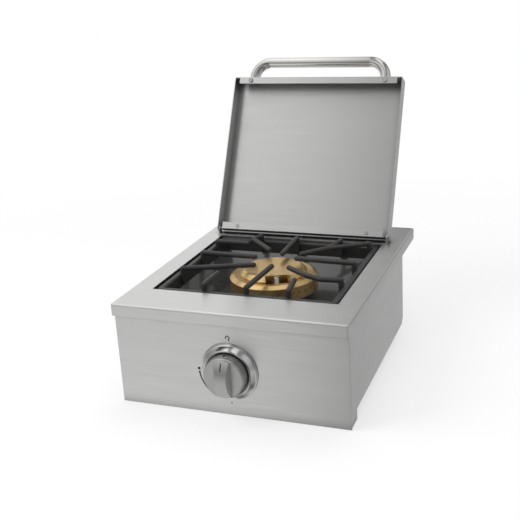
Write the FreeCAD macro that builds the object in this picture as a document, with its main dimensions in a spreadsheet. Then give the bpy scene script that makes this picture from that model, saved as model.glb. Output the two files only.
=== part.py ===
import FreeCAD, Part
import math
import os
import re

import Sketcher

# A built-in side burner for an outdoor kitchen, drawn in millimetres. X runs across the front from left to
# right, Y from the knob to the back, Z up. The origin is the middle of the base tray's underside.
# The lid stands open and leans on the deck behind it, as it is used for cooking.

os.makedirs("parts", exist_ok=True)
doc = FreeCAD.newDocument("side_burner")

SIZES = {
    # the case and its deck
    "side_margin": 29.5,
    "front_margin": 57.0,
    "rear_margin": 9.0,
    "rear_overhang": 85.0,
    "deck_gauge": 1.5,
    "deck_bend": 3.0,
    "lip_drop": 17.0,
    "unit_height": 147.0,
    "front_overhang": 6.0,
    "panel_gauge": 1.2,
    "fascia_return": 30.0,
    "fascia_foot": 14.0,
    "skirt_gap": 17.0,
    "panel_flange": 18.0,
    "panel_notch": 9.0,
    "panel_seam": 0.4,
    "tray_width": 296.0,
    "tray_setback": 18.0,
    "tray_rim": 10.0,
    "vent_length": 44.0,
    "vent_width": 5.0,
    "vent_pitch": 13.0,
    # the opening, the well and the grate
    "opening_width": 268.0,
    "opening_length": 248.0,
    "opening_corner": 2.0,
    "opening_flange": 10.0,
    "well_gauge": 1.0,
    "well_rim": 5.0,
    "well_gap": 1.0,
    "ledge_drop": 20.0,
    "ledge_width": 11.0,
    "well_depth": 52.0,
    "well_slope": 30.0,
    "grate_gap": 3.0,
    "bar_width": 10.0,
    "bar_drop": 1.0,
    "bar_corner": 8.0,
    "bar_round": 3.5,
    "finger_rise": 11.0,
    "finger_width": 7.6,
    "finger_bury": 1.8,
    "finger_clear": 1.0,
    "finger_pitch": 61.0,
    "finger_bend": 64.0,
    "finger_tip": 27.0,
    "finger_short": 66.0,
    # the burner
    "ring_radius": 64.5,
    "ring_drop": 10.0,
    "ring_height": 23.0,
    "ring_flat": 58.0,
    "ring_hole": 38.0,
    "ring_wall": 2.5,
    "cap_radius": 49.5,
    "cap_rise": 8.0,
    "cap_flat": 42.0,
    "cap_skirt": 12.0,
    "port_radius": 1.3,
    "electrode_reach": 41.0,
    "electrode_turn": 26.0,
    "electrode_slot": 16.0,
    "boss_height": 8.0,
    "collar_height": 3.0,
    "lead_radius": 2.2,
    "lead_bend": 9.0,
    "ceramic_radius": 3.2,
    "pin_radius": 1.2,
    "venturi_bore": 10.5,
    "venturi_wall": 2.5,
    "venturi_mouth": 121.0,
    "saddle_width": 22.0,
    "saddle_length": 14.0,
    "shutter_gap": 0.3,
    "shutter_wall": 1.5,
    "shutter_length": 20.0,
    # the valve, the gas line and the knob
    "knob_drop": 31.0,
    "stem_radius": 4.0,
    "stem_play": 0.1,
    "nose_radius": 10.0,
    "nose_length": 9.0,
    "valve_width": 26.0,
    "valve_depth": 30.0,
    "bracket_half": 34.0,
    "bezel_radius": 40.0,
    "bezel_bore": 30.3,
    "bezel_height": 9.0,
    "knob_radius": 29.0,
    "knob_nose": 27.5,
    "knob_stand": 5.0,
    "knob_face": 23.0,
    "grip_width": 16.3,
    "grip_foot": 24.0,
    "grip_height": 10.0,
    "pipe_radius": 4.76,
    "pipe_bend": 26.0,
    "pipe_side": 112.0,
    "clamp_width": 16.0,
    "clamp_place": 40.0,
    "flare_radius": 7.94,
    "flare_length": 24.0,
    "fitting_hex": 12.0,
    "lock_length": 6.0,
    # the lid and its hinge
    "lid_overlap": 9.0,
    "lid_cover": 1.8,
    "lid_clear": 0.38,
    "wall_clear": 2.0,
    "lid_depth": 23.0,
    "lid_gauge": 1.2,
    "lid_lean": 27.5,
    "lid_bend": 2.5,
    "lid_flange": 11.0,
    "bumper_height": 2.3,
    "rim_height": 2.5,
    "hinge_inset": 1.0,
    "lug_radius": 5.0,
    "ear_gauge": 1.5,
    "ear_gap": 0.6,
    "strip_width": 13.0,
    "strip_margin": 1.5,
    "hinge_pin": 2.0,
    "pin_play": 0.06,
    "handle_radius": 8.5,
    "handle_span": 224.0,
    "handle_height": 29.0,
    "handle_bend": 27.0,
    # fasteners
    "washer_gauge": 1.0,
    "washer_radius": 6.0,
    "screw_circle": 31.0,
    "foot_gauge": 3.5,
    "bezel_screw": 24.0,
    "screw_head": 4.0,
    "screw_height": 1.8,
    "screw_shank": 2.0,
    "hole_play": 0.1,
}

# Places that several pieces share, each worked out from the sizes above.
PLACES = {
    "half_opening": "opening_width / 2",
    "half_case": "half_opening + side_margin",
    "half_deck": "half_case + deck_gauge",
    "body_length": "front_margin + opening_length + rear_margin",
    "case_front": "-body_length / 2",
    "case_back": "body_length / 2",
    "deck_front": "case_front - front_overhang",
    "deck_length": "front_overhang + body_length + rear_overhang",
    "deck_under": "unit_height - deck_gauge",
    "opening_front": "case_front + front_margin",
    "opening_back": "opening_front + opening_length",
    "burner_y": "opening_front + opening_length / 2",
    "lip_x": "half_opening + deck_gauge + well_rim",
    "lip_y": "opening_length / 2 + deck_gauge + well_rim",
    "well_top": "unit_height - opening_flange",
    "ledge_top": "unit_height - ledge_drop",
    "floor_top": "unit_height - well_depth",
    "knob_height": "floor_top - knob_drop",
    "well_half_x": "half_opening - well_gap",
    "well_half_y": "opening_length / 2 - well_gap",
    "step_half_x": "well_half_x - ledge_width",
    "step_half_y": "well_half_y - ledge_width",
    "grate_half_x": "half_opening - grate_gap",
    "grate_half_y": "opening_length / 2 - grate_gap",
    "grate_top": "unit_height - bar_drop",
    "finger_top": "unit_height + finger_rise",
    "ring_top": "unit_height - ring_drop",
    "ring_foot": "ring_top - ring_height",
    "cap_top": "ring_top + cap_rise",
    "electrode_x": "electrode_reach * sin(electrode_turn)",
    "electrode_y": "burner_y - electrode_reach * cos(electrode_turn)",
    "clip_leg": "ceramic_radius + 6.6 - electrode_reach",
    "grip_crest": "(knob_nose * knob_nose + grip_height * grip_height) / (2 * grip_height)",
    "venturi_outer": "venturi_bore + venturi_wall",
    "mouth_y": "burner_y - venturi_mouth",
    "half_tray": "tray_width / 2",
    "tray_length": "body_length - 2 * tray_setback",
    "hinge_lift": "lid_depth * sin(lid_lean) + lid_clear + hinge_inset * cos(lid_lean) - rim_height",
    "hinge_rise": "hinge_lift / (1 + sin(lid_lean))",
    "hinge_setback": "hinge_inset * sin(lid_lean) + hinge_rise * cos(lid_lean)",
    "hinge_y": "opening_back + wall_clear + hinge_setback",
    "hinge_z": "unit_height + rim_height + hinge_rise",
    "half_lid": "half_opening + lid_overlap",
    "lid_length": "opening_length + wall_clear + hinge_setback + hinge_inset + lid_cover",
    "ear_outer": "half_lid - lid_gauge - ear_gap",
    "rim_z": "-hinge_rise",
    "lid_back": "hinge_inset",
    "lid_front": "hinge_inset - lid_length",
    "valve_front": "case_front + panel_gauge + nose_length",
    "valve_back": "valve_front + valve_depth",
    "valve_y": "valve_front + valve_depth / 2",
    "shelf_z": "knob_height + valve_width / 2",
    "lead_z": "shelf_z + panel_gauge + lead_radius + 1.1",
    "bracket_y": "case_front + panel_gauge",
    "igniter_y": "bracket_y + panel_gauge + 1",
    "wall_y": "case_back - 2 * panel_gauge",
    "lock_y": "wall_y + panel_gauge + lock_length",
    "sleeve_bore": "venturi_outer + shutter_gap",
    "sleeve_outer": "sleeve_bore + shutter_wall",
    "saddle_y": "mouth_y + shutter_length + 12",
}

WORD = re.compile(r"[a-z][a-z_0-9]*")
NODES = []


def write_sheet():
    """Puts every size in a spreadsheet cell with its name as alias."""
    sheet = doc.addObject("Spreadsheet::Sheet", "Sizes")
    for row, (name, value) in enumerate(SIZES.items(), start=1):
        sheet.set(f"A{row}", name)
        sheet.set(f"B{row}", str(value))
        sheet.setAlias(f"B{row}", name)
    doc.recompute()


def formula(text):
    """Turns a formula in sizes and places into an expression on the spreadsheet."""
    def expand(match):
        word = match.group(0)
        if word in PLACES:
            return "(" + formula(PLACES[word]) + ")"
        if word in SIZES:
            return "Sizes." + word
        return word
    return WORD.sub(expand, str(text))


def bind(item, **settings):
    """Binds properties of an object to formulas."""
    for name, text in settings.items():
        item.setExpression(name, formula(text))
    return item


def measure(text):
    """The value of a formula, read off a point that is bound to it."""
    probe = doc.getObject("measuring_point") or doc.addObject("Part::Vertex", "measuring_point")
    bind(probe, X=text)
    probe.recompute()
    return probe.X.Value


def place(item, x, y, z):
    """Binds an object's position to three formulas."""
    for axis, text in zip("xyz", (x, y, z)):
        item.setExpression(f"Placement.Base.{axis}", formula(text))
    return item


TURNS = {
    "z": FreeCAD.Rotation(),
    "-z": FreeCAD.Rotation(FreeCAD.Vector(1, 0, 0), 180),
    "y": FreeCAD.Rotation(FreeCAD.Vector(1, 0, 0), -90),
    "-y": FreeCAD.Rotation(FreeCAD.Vector(1, 0, 0), 90),
    "x": FreeCAD.Rotation(FreeCAD.Vector(0, 1, 0), 90),
    "-x": FreeCAD.Rotation(FreeCAD.Vector(0, 1, 0), -90),
}


def opposite(axis):
    return axis[1:] if axis.startswith("-") else "-" + axis


def shifted(point, axis, distance):
    """A point moved along an axis by a formula."""
    sign = "-" if axis.startswith("-") else "+"
    return tuple(f"({text}) {sign} ({distance})" if axis.endswith(name) else text
                 for name, text in zip("xyz", point))


def turned(kind, name, point, axis, **settings):
    """A primitive whose own Z runs along the axis, with its base centre at the point."""
    item = doc.addObject(kind, name)
    item.Placement = FreeCAD.Placement(FreeCAD.Vector(0, 0, 0), TURNS[axis])
    bind(item, **settings)
    return place(item, *point)


def block(name, x, y, z, length, width, height):
    """A box from its low corner and its three sides."""
    return turned("Part::Box", name, (x, y, z), "z", Length=length, Width=width, Height=height)


def middle_block(name, y, z, half_width, width, height):
    """A box that is centred on X."""
    return block(name, f"-({half_width})", y, z, f"2 * ({half_width})", width, height)


def rod(name, x, y, z, radius, height, axis="z"):
    return turned("Part::Cylinder", name, (x, y, z), axis, Radius=radius, Height=height)


def taper(name, x, y, z, low, high, height, axis="z"):
    return turned("Part::Cone", name, (x, y, z), axis, Radius1=low, Radius2=high, Height=height)


def ball(name, x, y, z, radius):
    return turned("Part::Sphere", name, (x, y, z), "z", Radius=radius)


def hexagon(name, x, y, z, radius, height, axis="z"):
    item = turned("Part::Prism", name, (x, y, z), axis, Circumradius=radius, Height=height)
    item.Polygon = 6
    return item


def fuse(name, items):
    item = doc.addObject("Part::MultiFuse", name)
    item.Shapes = items
    return item


def cut(name, base, tools):
    """The base less one or more tools."""
    item = doc.addObject("Part::Cut", name)
    item.Base = base
    item.Tool = tools[0] if len(tools) == 1 else fuse(name + "_cuts", tools)
    return item


def common(name, one, other):
    item = doc.addObject("Part::MultiCommon", name)
    item.Shapes = [one, other]
    return item


def group(name, items):
    """Separate solids that are one piece of the list."""
    item = doc.addObject("Part::Compound", name)
    item.Links = items
    return item


def rounded(name, base, radius, wanted):
    """Rounds the edges of the base that the test picks."""
    item = doc.addObject("Part::Fillet", name)
    item.Base = base
    doc.recompute()
    size = measure(radius)
    edges = [i for i, edge in enumerate(base.Shape.Edges, start=1) if wanted(edge, base.Shape.BoundBox)]
    item.Edges = [(i, size, size) for i in edges]
    return item


def runs_along(edge, axis):
    """Whether a straight edge runs along an axis."""
    if len(edge.Vertexes) != 2 or edge.Curve.TypeId != "Part::GeomLine":
        return False
    step = edge.Vertexes[1].Point - edge.Vertexes[0].Point
    return abs(abs(getattr(step, axis)) - step.Length) < 1e-6


def at_height(edge, height):
    return all(abs(vertex.Z - height) < 1e-6 for vertex in edge.Vertexes)


def in_front(edge, box):
    return abs(edge.CenterOfMass.y - box.YMin) < 1e-6


def node(item):
    """Marks an object as a piece of the burner."""
    NODES.append(item)
    return item


def hang(item):
    """Puts a piece that is drawn on the closed lid, with the hinge as origin, on the open lid."""
    turn = FreeCAD.Rotation(FreeCAD.Vector(-1, 0, 0), 90)
    item.Placement = FreeCAD.Placement(FreeCAD.Vector(0, 0, 0), turn)
    item.setExpression("Placement.Rotation.Angle", formula("lid_lean + 90"))
    return node(place(item, "0", "hinge_y", "hinge_z"))


def body_sketch(body, name, plane, height=None):
    """A sketch on one of the body's own origin planes, raised by a formula."""
    sketch = body.newObject("Sketcher::SketchObject", name)
    support = [f for f in body.Origin.OriginFeatures if f.Role == plane][0]
    sketch.AttachmentSupport = [(support, "")]
    sketch.MapMode = "FlatFace"
    if height:
        sketch.setExpression("AttachmentOffset.Base.z", formula(height))
    return sketch


def outline(sketch, points):
    """A closed outline of straight lines, each corner bound to two formulas."""
    count = len(points)
    corners = [FreeCAD.Vector(measure(across), measure(up), 0) for across, up in points]
    for i, corner in enumerate(corners):
        sketch.addGeometry(Part.LineSegment(corner, corners[(i + 1) % count]), False)
    for i, (across, up) in enumerate(points):
        sketch.addConstraint(Sketcher.Constraint("Coincident", (i - 1) % count, 2, i, 1))
        fix(sketch, "DistanceX", i, corners[i].x, across)
        fix(sketch, "DistanceY", i, corners[i].y, up)
    return sketch


def fix(sketch, kind, line, value, text):
    """Binds the start of a sketch line to a distance from the sketch's origin."""
    index = sketch.addConstraint(Sketcher.Constraint(kind, -1, 1, line, 1, value))
    sketch.setExpression(f"Constraints[{index}]", formula(text))


def rectangle(sketch, half_x, half_y):
    left, low = f"-({half_x})", f"-({half_y})"
    return outline(sketch, [(left, low), (half_x, low), (half_x, half_y), (left, half_y)])


def turned_body(name, points):
    """A body of revolution about Z from an outline of (radius, height) formulas."""
    body = doc.addObject("PartDesign::Body", name)
    sketch = outline(body_sketch(body, name + "_profile", "XZ_Plane"), points)
    turn = body.newObject("PartDesign::Revolution", name + "_turn")
    turn.Profile = sketch
    turn.ReferenceAxis = (sketch, ["V_Axis"])
    turn.Angle = 360
    sketch.Visibility = False
    return body


def screw(name, point, axis, shank):
    """A pan head screw with a hexagon socket. Its head sits at the point and rises along the axis."""
    head = taper(name + "_head", *point, "screw_head", "screw_head * 0.75", "screw_height", axis)
    floor = shifted(point, axis, "screw_height * 0.4")
    socket = hexagon(name + "_socket", *floor, "screw_head * 0.45", "screw_height", axis)
    stem = rod(name + "_shank", *point, "screw_shank", shank, opposite(axis))
    return fuse(name, [cut(name + "_drive", head, [socket]), stem])


def screws(name, points, axis, shank):
    """One piece of the list that is a set of identical screws."""
    return group(name, [screw(f"{name}_{i}", p, axis, shank) for i, p in enumerate(points, start=1)])


def drill(name, points, axis, depth, radius="screw_shank + hole_play"):
    """Clearance holes for screws, as cylinders that a piece is cut by."""
    return [rod(f"{name}_{i}", *p, radius, depth, axis) for i, p in enumerate(points, start=1)]


# Places of screws, which the pieces that they join share.
STRIP_SCREWS = [(x, "opening_back + strip_margin + strip_width / 2", "unit_height + ear_gauge")
                for x in ("-ear_outer * 0.76", "0", "ear_outer * 0.76")]
TRAY_SCREWS = [(f"{side} * (half_tray + tray_rim / 2)", y, "skirt_gap - panel_gauge")
               for side in (-1, 1) for y in ("-tray_length * 0.36", "tray_length * 0.36")]
BACK_SCREWS = [(f"{side} * (half_case - panel_flange / 2)", "case_back", z)
               for side in (-1, 1) for z in ("skirt_gap + 16", "deck_under - 26")]
WELL_SCREWS = [(f"{x} * (lip_x - well_rim / 2)", f"burner_y + {y} * opening_length * 0.3",
                "well_top - well_gauge") for x in (-1, 1) for y in (-1, 1)]
BEZEL_SCREWS = [("-bezel_screw", "bracket_y + panel_gauge", "knob_height + bezel_screw"),
                ("bezel_screw", "bracket_y + panel_gauge", "knob_height - bezel_screw")]
BURNER_SCREWS = [("0", "burner_y + screw_circle", "floor_top + foot_gauge"),
                 ("-0.866 * screw_circle", "burner_y - screw_circle / 2", "floor_top + foot_gauge"),
                 ("0.866 * screw_circle", "burner_y - screw_circle / 2", "floor_top + foot_gauge")]
HANDLE_SCREWS = [(f"{side} * handle_span / 2", "lid_front + lid_gauge + washer_gauge",
                  "rim_z + lid_depth / 2") for side in (-1, 1)]
LID_RIVETS = [(f"{side} * half_lid * 0.755", "lid_back - lid_flange / 2", "rim_z") for side in (-1, 1)]


def make_deck():
    """The top plate: a pressed sheet with a lip all round and a collar down round the opening."""
    low = "unit_height - lip_drop"
    slab = middle_block("deck_slab", "deck_front", low, "half_deck", "deck_length", "lip_drop")
    soft = rounded("deck_bends", slab, "deck_bend",
                   lambda edge, box: at_height(edge, box.ZMax) or runs_along(edge, "z"))
    hollow = middle_block("deck_hollow", "deck_front + deck_gauge", f"{low} - 1", "half_case",
                          "deck_length - 2 * deck_gauge", "lip_drop - deck_gauge + 1")
    wall = middle_block("deck_collar", "opening_front - deck_gauge", "well_top",
                        "half_opening + deck_gauge", "opening_length + 2 * deck_gauge",
                        "opening_flange")
    lip = middle_block("deck_collar_lip", "burner_y - lip_y", "well_top", "lip_x", "2 * lip_y",
                       "deck_gauge")
    shell = fuse("deck_shell", [cut("deck_pan", soft, [hollow]), wall, lip])
    window = middle_block("deck_window", "opening_front", "well_top - 1", "half_opening",
                          "opening_length", "opening_flange + 2")
    window = rounded("deck_window_corners", window, "opening_corner",
                     lambda edge, box: runs_along(edge, "z"))
    holes = drill("deck_strip_hole", STRIP_SCREWS, "-z", "deck_gauge + ear_gauge + 1")
    holes += drill("deck_well_hole", WELL_SCREWS, "z", "deck_gauge + well_gauge + 1")
    return node(cut("deck", shell, [window] + holes))


def make_fascia():
    """The front panel, with a return down each side and a foot that stands on the counter."""
    start, depth = "case_front + panel_gauge", "fascia_return + 1"
    blank = middle_block("fascia_blank", "case_front", "0", "half_case", "fascia_return + panel_gauge",
                         "deck_under")
    soft = rounded("fascia_bends", blank, "panel_gauge",
                   lambda edge, box: in_front(edge, box) and not at_height(edge, box.ZMax))
    inner = "half_case - 2 * panel_gauge"
    hollow = middle_block("fascia_hollow", start, "panel_gauge", inner, depth,
                          "deck_under - 2 * panel_gauge")
    under = middle_block("fascia_under", "case_front + fascia_foot", "-1", inner, depth,
                         "panel_gauge + 2")
    over = middle_block("fascia_over", "case_front + fascia_foot", "deck_under - panel_gauge - 1", inner,
                        depth, "panel_gauge + 2")
    cuts = [hollow, under, over]
    for side, x in (("left", "-half_case - 1"), ("right", "half_case - panel_gauge")):
        cuts.append(block(f"fascia_rebate_{side}", x, start, "-1", "panel_gauge + 1", depth,
                          "unit_height"))
    cuts.append(rod("fascia_stem_hole", "0", "case_front - 1", "knob_height",
                    "nose_radius + panel_seam", "panel_gauge + 2", "y"))
    cuts += drill("fascia_bezel_hole", BEZEL_SCREWS, "-y", "3 * panel_gauge")
    return node(cut("front_fascia", soft, cuts))


def make_side_panel(name, side):
    """A side of the case, with flanges turned in at the foot and at the back."""
    start = "case_front + panel_gauge + panel_seam"
    low = "half_case - panel_flange" if side > 0 else "-half_case"
    inner_low = "half_case - panel_flange - 1" if side > 0 else "-half_case + panel_gauge"
    reach = "panel_flange - panel_gauge + 1"
    blank = block(name + "_blank", low, start, "skirt_gap", "panel_flange", f"case_back - ({start})",
                  "deck_under - skirt_gap")
    hollow = block(name + "_hollow", inner_low, "case_front - 1", "skirt_gap + panel_gauge", reach,
                   "body_length - panel_gauge + 1", "unit_height")
    rebate = block(name + "_rebate", inner_low, "case_front", "skirt_gap - 1", reach,
                   "fascia_return + panel_gauge", "panel_gauge + 2")
    notch = doc.addObject("Part::Box", name + "_notch")
    slope = FreeCAD.Rotation(FreeCAD.Vector(1, 0, 0), 45)
    notch.Placement = FreeCAD.Placement(FreeCAD.Vector(0, 0, 0), slope)
    bind(notch, Length="panel_flange + 4", Width="panel_notch * 4.243", Height="panel_notch * 2.829")
    place(notch, f"{low} - 2", "case_back", "skirt_gap - panel_notch * 3")
    tray_holes = [p for p in TRAY_SCREWS if p[0].startswith(f"{side} ")]
    back_holes = [p for p in BACK_SCREWS if p[0].startswith(f"{side} ")]
    holes = drill(name + "_tray_hole", tray_holes, "z", "panel_gauge * 3")
    holes += drill(name + "_back_hole", back_holes, "-y", "panel_gauge + 1")
    return node(cut(name, blank, [hollow, notch, rebate] + holes))


def make_rear_panel():
    """The back of the case, with louvre slots and the hole that the gas fitting passes through."""
    plate = middle_block("rear_plate", "wall_y", "skirt_gap + panel_gauge", "half_case - panel_gauge",
                         "panel_gauge", "deck_under - skirt_gap - panel_gauge")
    cuts = drill("rear_screw_hole", BACK_SCREWS, "-y", "2 * panel_gauge + 1")
    cuts.append(rod("rear_gas_hole", "-pipe_side", "wall_y - 1", "knob_height", "flare_radius + hole_play",
                    "panel_gauge + 2", "y"))
    for i in range(5):
        cuts.append(block(f"rear_vent_{i}", f"(-2 + {i}) * vent_pitch * 1.6 - vent_width / 2", "wall_y - 1",
                          "knob_height - vent_length / 2", "vent_width", "panel_gauge + 2",
                          "vent_length"))
    return node(cut("rear_panel", plate, cuts))


def make_base_tray():
    """The shallow tray that closes the case and that the unit stands on."""
    front = "-tray_length / 2"
    pan = middle_block("tray_pan", front, "0", "half_tray", "tray_length", "skirt_gap")
    pan = rounded("tray_bends", pan, "panel_gauge",
                  lambda edge, box: at_height(edge, box.ZMin) or runs_along(edge, "z"))
    rim = middle_block("tray_rim_plate", front, "skirt_gap - panel_gauge", "half_tray + tray_rim",
                       "tray_length", "panel_gauge")
    hollow = middle_block("tray_hollow", f"{front} + panel_gauge", "panel_gauge",
                          "half_tray - panel_gauge", "tray_length - 2 * panel_gauge", "skirt_gap")
    cuts = [hollow] + drill("tray_hole", TRAY_SCREWS, "z", "panel_gauge * 3")
    for side in (-1, 1):
        for i in range(5):
            cuts.append(block(f"tray_vent_{side + 1}_{i}", f"{side} * half_tray / 2 - vent_length / 2",
                              f"(-2 + {i}) * vent_pitch", "-1", "vent_length", "vent_width",
                              "panel_gauge + 2"))
    return node(cut("base_tray", fuse("tray_shell", [pan, rim]), cuts))


def make_well():
    """The well under the grate: a ledge that the grate sits on and four slopes down to a floor."""
    body = doc.addObject("PartDesign::Body", "well_form")
    place(body, "0", "burner_y", "0")

    def level(name, height, half_x, half_y):
        return rectangle(body_sketch(body, name, "XY_Plane", height), half_x, half_y)

    def pad(name, sketch, length):
        item = body.newObject("PartDesign::Pad", name)
        item.Profile = sketch
        bind(item, Length=length)

    def loft(kind, name, low, high):
        item = body.newObject(kind, name)
        item.Profile = high
        item.Sections = [low]
        item.Ruled = True

    wall = "well_gauge"
    foot_x, foot_y = "step_half_x - well_slope", "step_half_y - well_slope"
    pad("well_ledge", level("well_ledge_plan", f"ledge_top - {wall}", f"well_half_x + {wall}",
                            f"well_half_y + {wall}"), "well_top - ledge_top + well_gauge")
    pad("well_rim_pad", level("well_rim_plan", f"well_top - {wall}", "lip_x", "lip_y"), wall)
    loft("PartDesign::AdditiveLoft", "well_slopes",
         level("well_foot_plan", f"floor_top - {wall}", f"{foot_x} + {wall}", f"{foot_y} + {wall}"),
         level("well_step_plan", f"ledge_top - {wall}", f"step_half_x + {wall}", f"step_half_y + {wall}"))
    doc.recompute()
    solid = body.Tip.Shape.Volume
    pocket = body.newObject("PartDesign::Pocket", "well_ledge_pocket")
    pocket.Profile = level("well_pocket_plan", "well_top", "well_half_x", "well_half_y")
    bind(pocket, Length="well_top - ledge_top")
    doc.recompute()
    require(body.Tip.Shape.Volume < solid, "the ledge pocket cuts nothing")
    loft("PartDesign::SubtractiveLoft", "well_inside",
         level("well_floor_plan", "floor_top", foot_x, foot_y),
         level("well_mouth_plan", "ledge_top", "step_half_x", "step_half_y"))
    low = "floor_top - well_gauge - 1"
    cuts = [rod("well_burner_hole", "0", "burner_y", low, "venturi_outer + 5.4", "well_gauge + 2"),
            rod("well_electrode_hole", "electrode_x", "electrode_y", low, "ceramic_radius + 0.6",
                "well_gauge + 2")]
    cuts += drill("well_base_hole", BURNER_SCREWS, "-z", "10")
    cuts += drill("well_rim_hole", WELL_SCREWS, "z", "well_gauge + 1")
    return node(cut("burner_well", body, cuts))


def make_finger(name, points):
    """A round finger of the grate through plan points (x, y from the burner's axis).

    It starts with a post beside the grate's frame and runs on as a bar in the air."""
    half = "finger_width / 2"
    axis = "(finger_top - finger_width / 2)"
    foot = "(ledge_top + 4)"
    x, y = points[0]
    pieces = [rod(f"{name}_post", x, f"burner_y + ({y})", foot, half, f"{axis} - {foot}")]
    for i, (x, y) in enumerate(points):
        pieces.append(ball(f"{name}_ball_{i}", x, f"burner_y + ({y})", axis, half))
    for i, (start, end) in enumerate(zip(points, points[1:])):
        run_x = f"(({end[0]}) - ({start[0]}))"
        run_y = f"(({end[1]}) - ({start[1]}))"
        length = f"sqrt({run_x} * {run_x} + {run_y} * {run_y})"
        bar = rod(f"{name}_bar_{i}", start[0], f"burner_y + ({start[1]})", axis, half, length)
        bar.setExpression("Placement.Rotation.Yaw", formula(f"atan2({run_y}; {run_x})"))
        bar.setExpression("Placement.Rotation.Pitch", "90 deg")
        pieces.append(bar)
    return fuse(name, pieces)


def make_grate():
    """The cast grate: a square frame on the well's ledge and fingers that reach in over the burner."""
    depth = "grate_top - ledge_top"
    frame = middle_block("grate_blank", "burner_y - grate_half_y", "ledge_top", "grate_half_x",
                         "2 * grate_half_y", depth)
    frame = rounded("grate_corners", frame, "bar_corner", lambda edge, box: runs_along(edge, "z"))
    inside = middle_block("grate_inside", "burner_y - grate_half_y + bar_width", "ledge_top - 1",
                          "grate_half_x - bar_width", "2 * (grate_half_y - bar_width)", f"{depth} + 2")
    frame = cut("grate_frame", frame, [inside])
    frame = rounded("grate_frame_round", frame, "bar_round",
                    lambda edge, box: at_height(edge, box.ZMax))
    side = "(grate_half_x - bar_width + finger_bury - finger_width / 2)"
    end = "(grate_half_y - bar_width + finger_bury - finger_width / 2)"
    near = "(opening_length / 2 + lid_cover - lid_flange - finger_clear - finger_width / 2)"
    pitch, bend, tip, short = "finger_pitch", "finger_bend", "finger_tip", "finger_short"
    layout = {
        "front_left": [(f"-{pitch}", f"-{near}"), (f"1 - {pitch}", f"-{short}")],
        "front_middle": [("1", f"-{near}"), ("6", f"4 - {tip}")],
        "front_right": [(pitch, f"-{near}"), (f"{pitch} - 5", f"-{short} - 4")],
        "right_front": [(side, f"4 - {pitch}"), (f"{bend} + 26", f"2 - {pitch}"),
                        (f"{bend} + 2", f"13 - {pitch}"), (f"{tip} + 6", f"3 - {tip}")],
        "right_middle": [(side, "13"), (f"{tip} + 4", "16")],
        "right_back": [(side, f"{end} - 5"), (bend, f"{bend} + 6"), (f"{tip} + 5", f"{tip} + 10")],
        "back_right": [(f"{bend} + 8", end), (bend, f"{bend} + 6")],
        "back_middle": [("1", end), ("3", f"{tip} + 6")],
        "back_left": [(f"2 - {pitch}", end), (f"-{bend} - 1", f"{bend} + 26"),
                      (f"4 - {tip}", f"{tip} + 20")],
        "left_back": [(f"-{side}", f"{pitch} + 10"), (f"-{bend} - 4", f"{pitch} + 9")],
        "left_middle": [(f"-{side}", "15"), (f"-{tip} - 6", "12")],
        "left_front": [(f"-{side}", f"4 - {pitch}"), (f"-{bend} - 1", f"26 - {bend}"),
                       (f"5 - {tip}", f"5 - {tip}")],
    }
    fingers = [make_finger("finger_" + name, points) for name, points in layout.items()]
    return node(fuse("cooking_grate", [frame] + fingers))


def facing_block(name, x, y, z, length, width, height):
    """A box drawn from the burner's axis and turned about it to the side where the electrode is."""
    turn = "electrode_turn"
    item = block(name, f"({x}) * cos({turn}) - ({y}) * sin({turn})",
                 f"burner_y + ({x}) * sin({turn}) + ({y}) * cos({turn})", z, length, width, height)
    item.setExpression("Placement.Rotation.Angle", formula(f"{turn} * 1 deg"))
    return item


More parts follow.
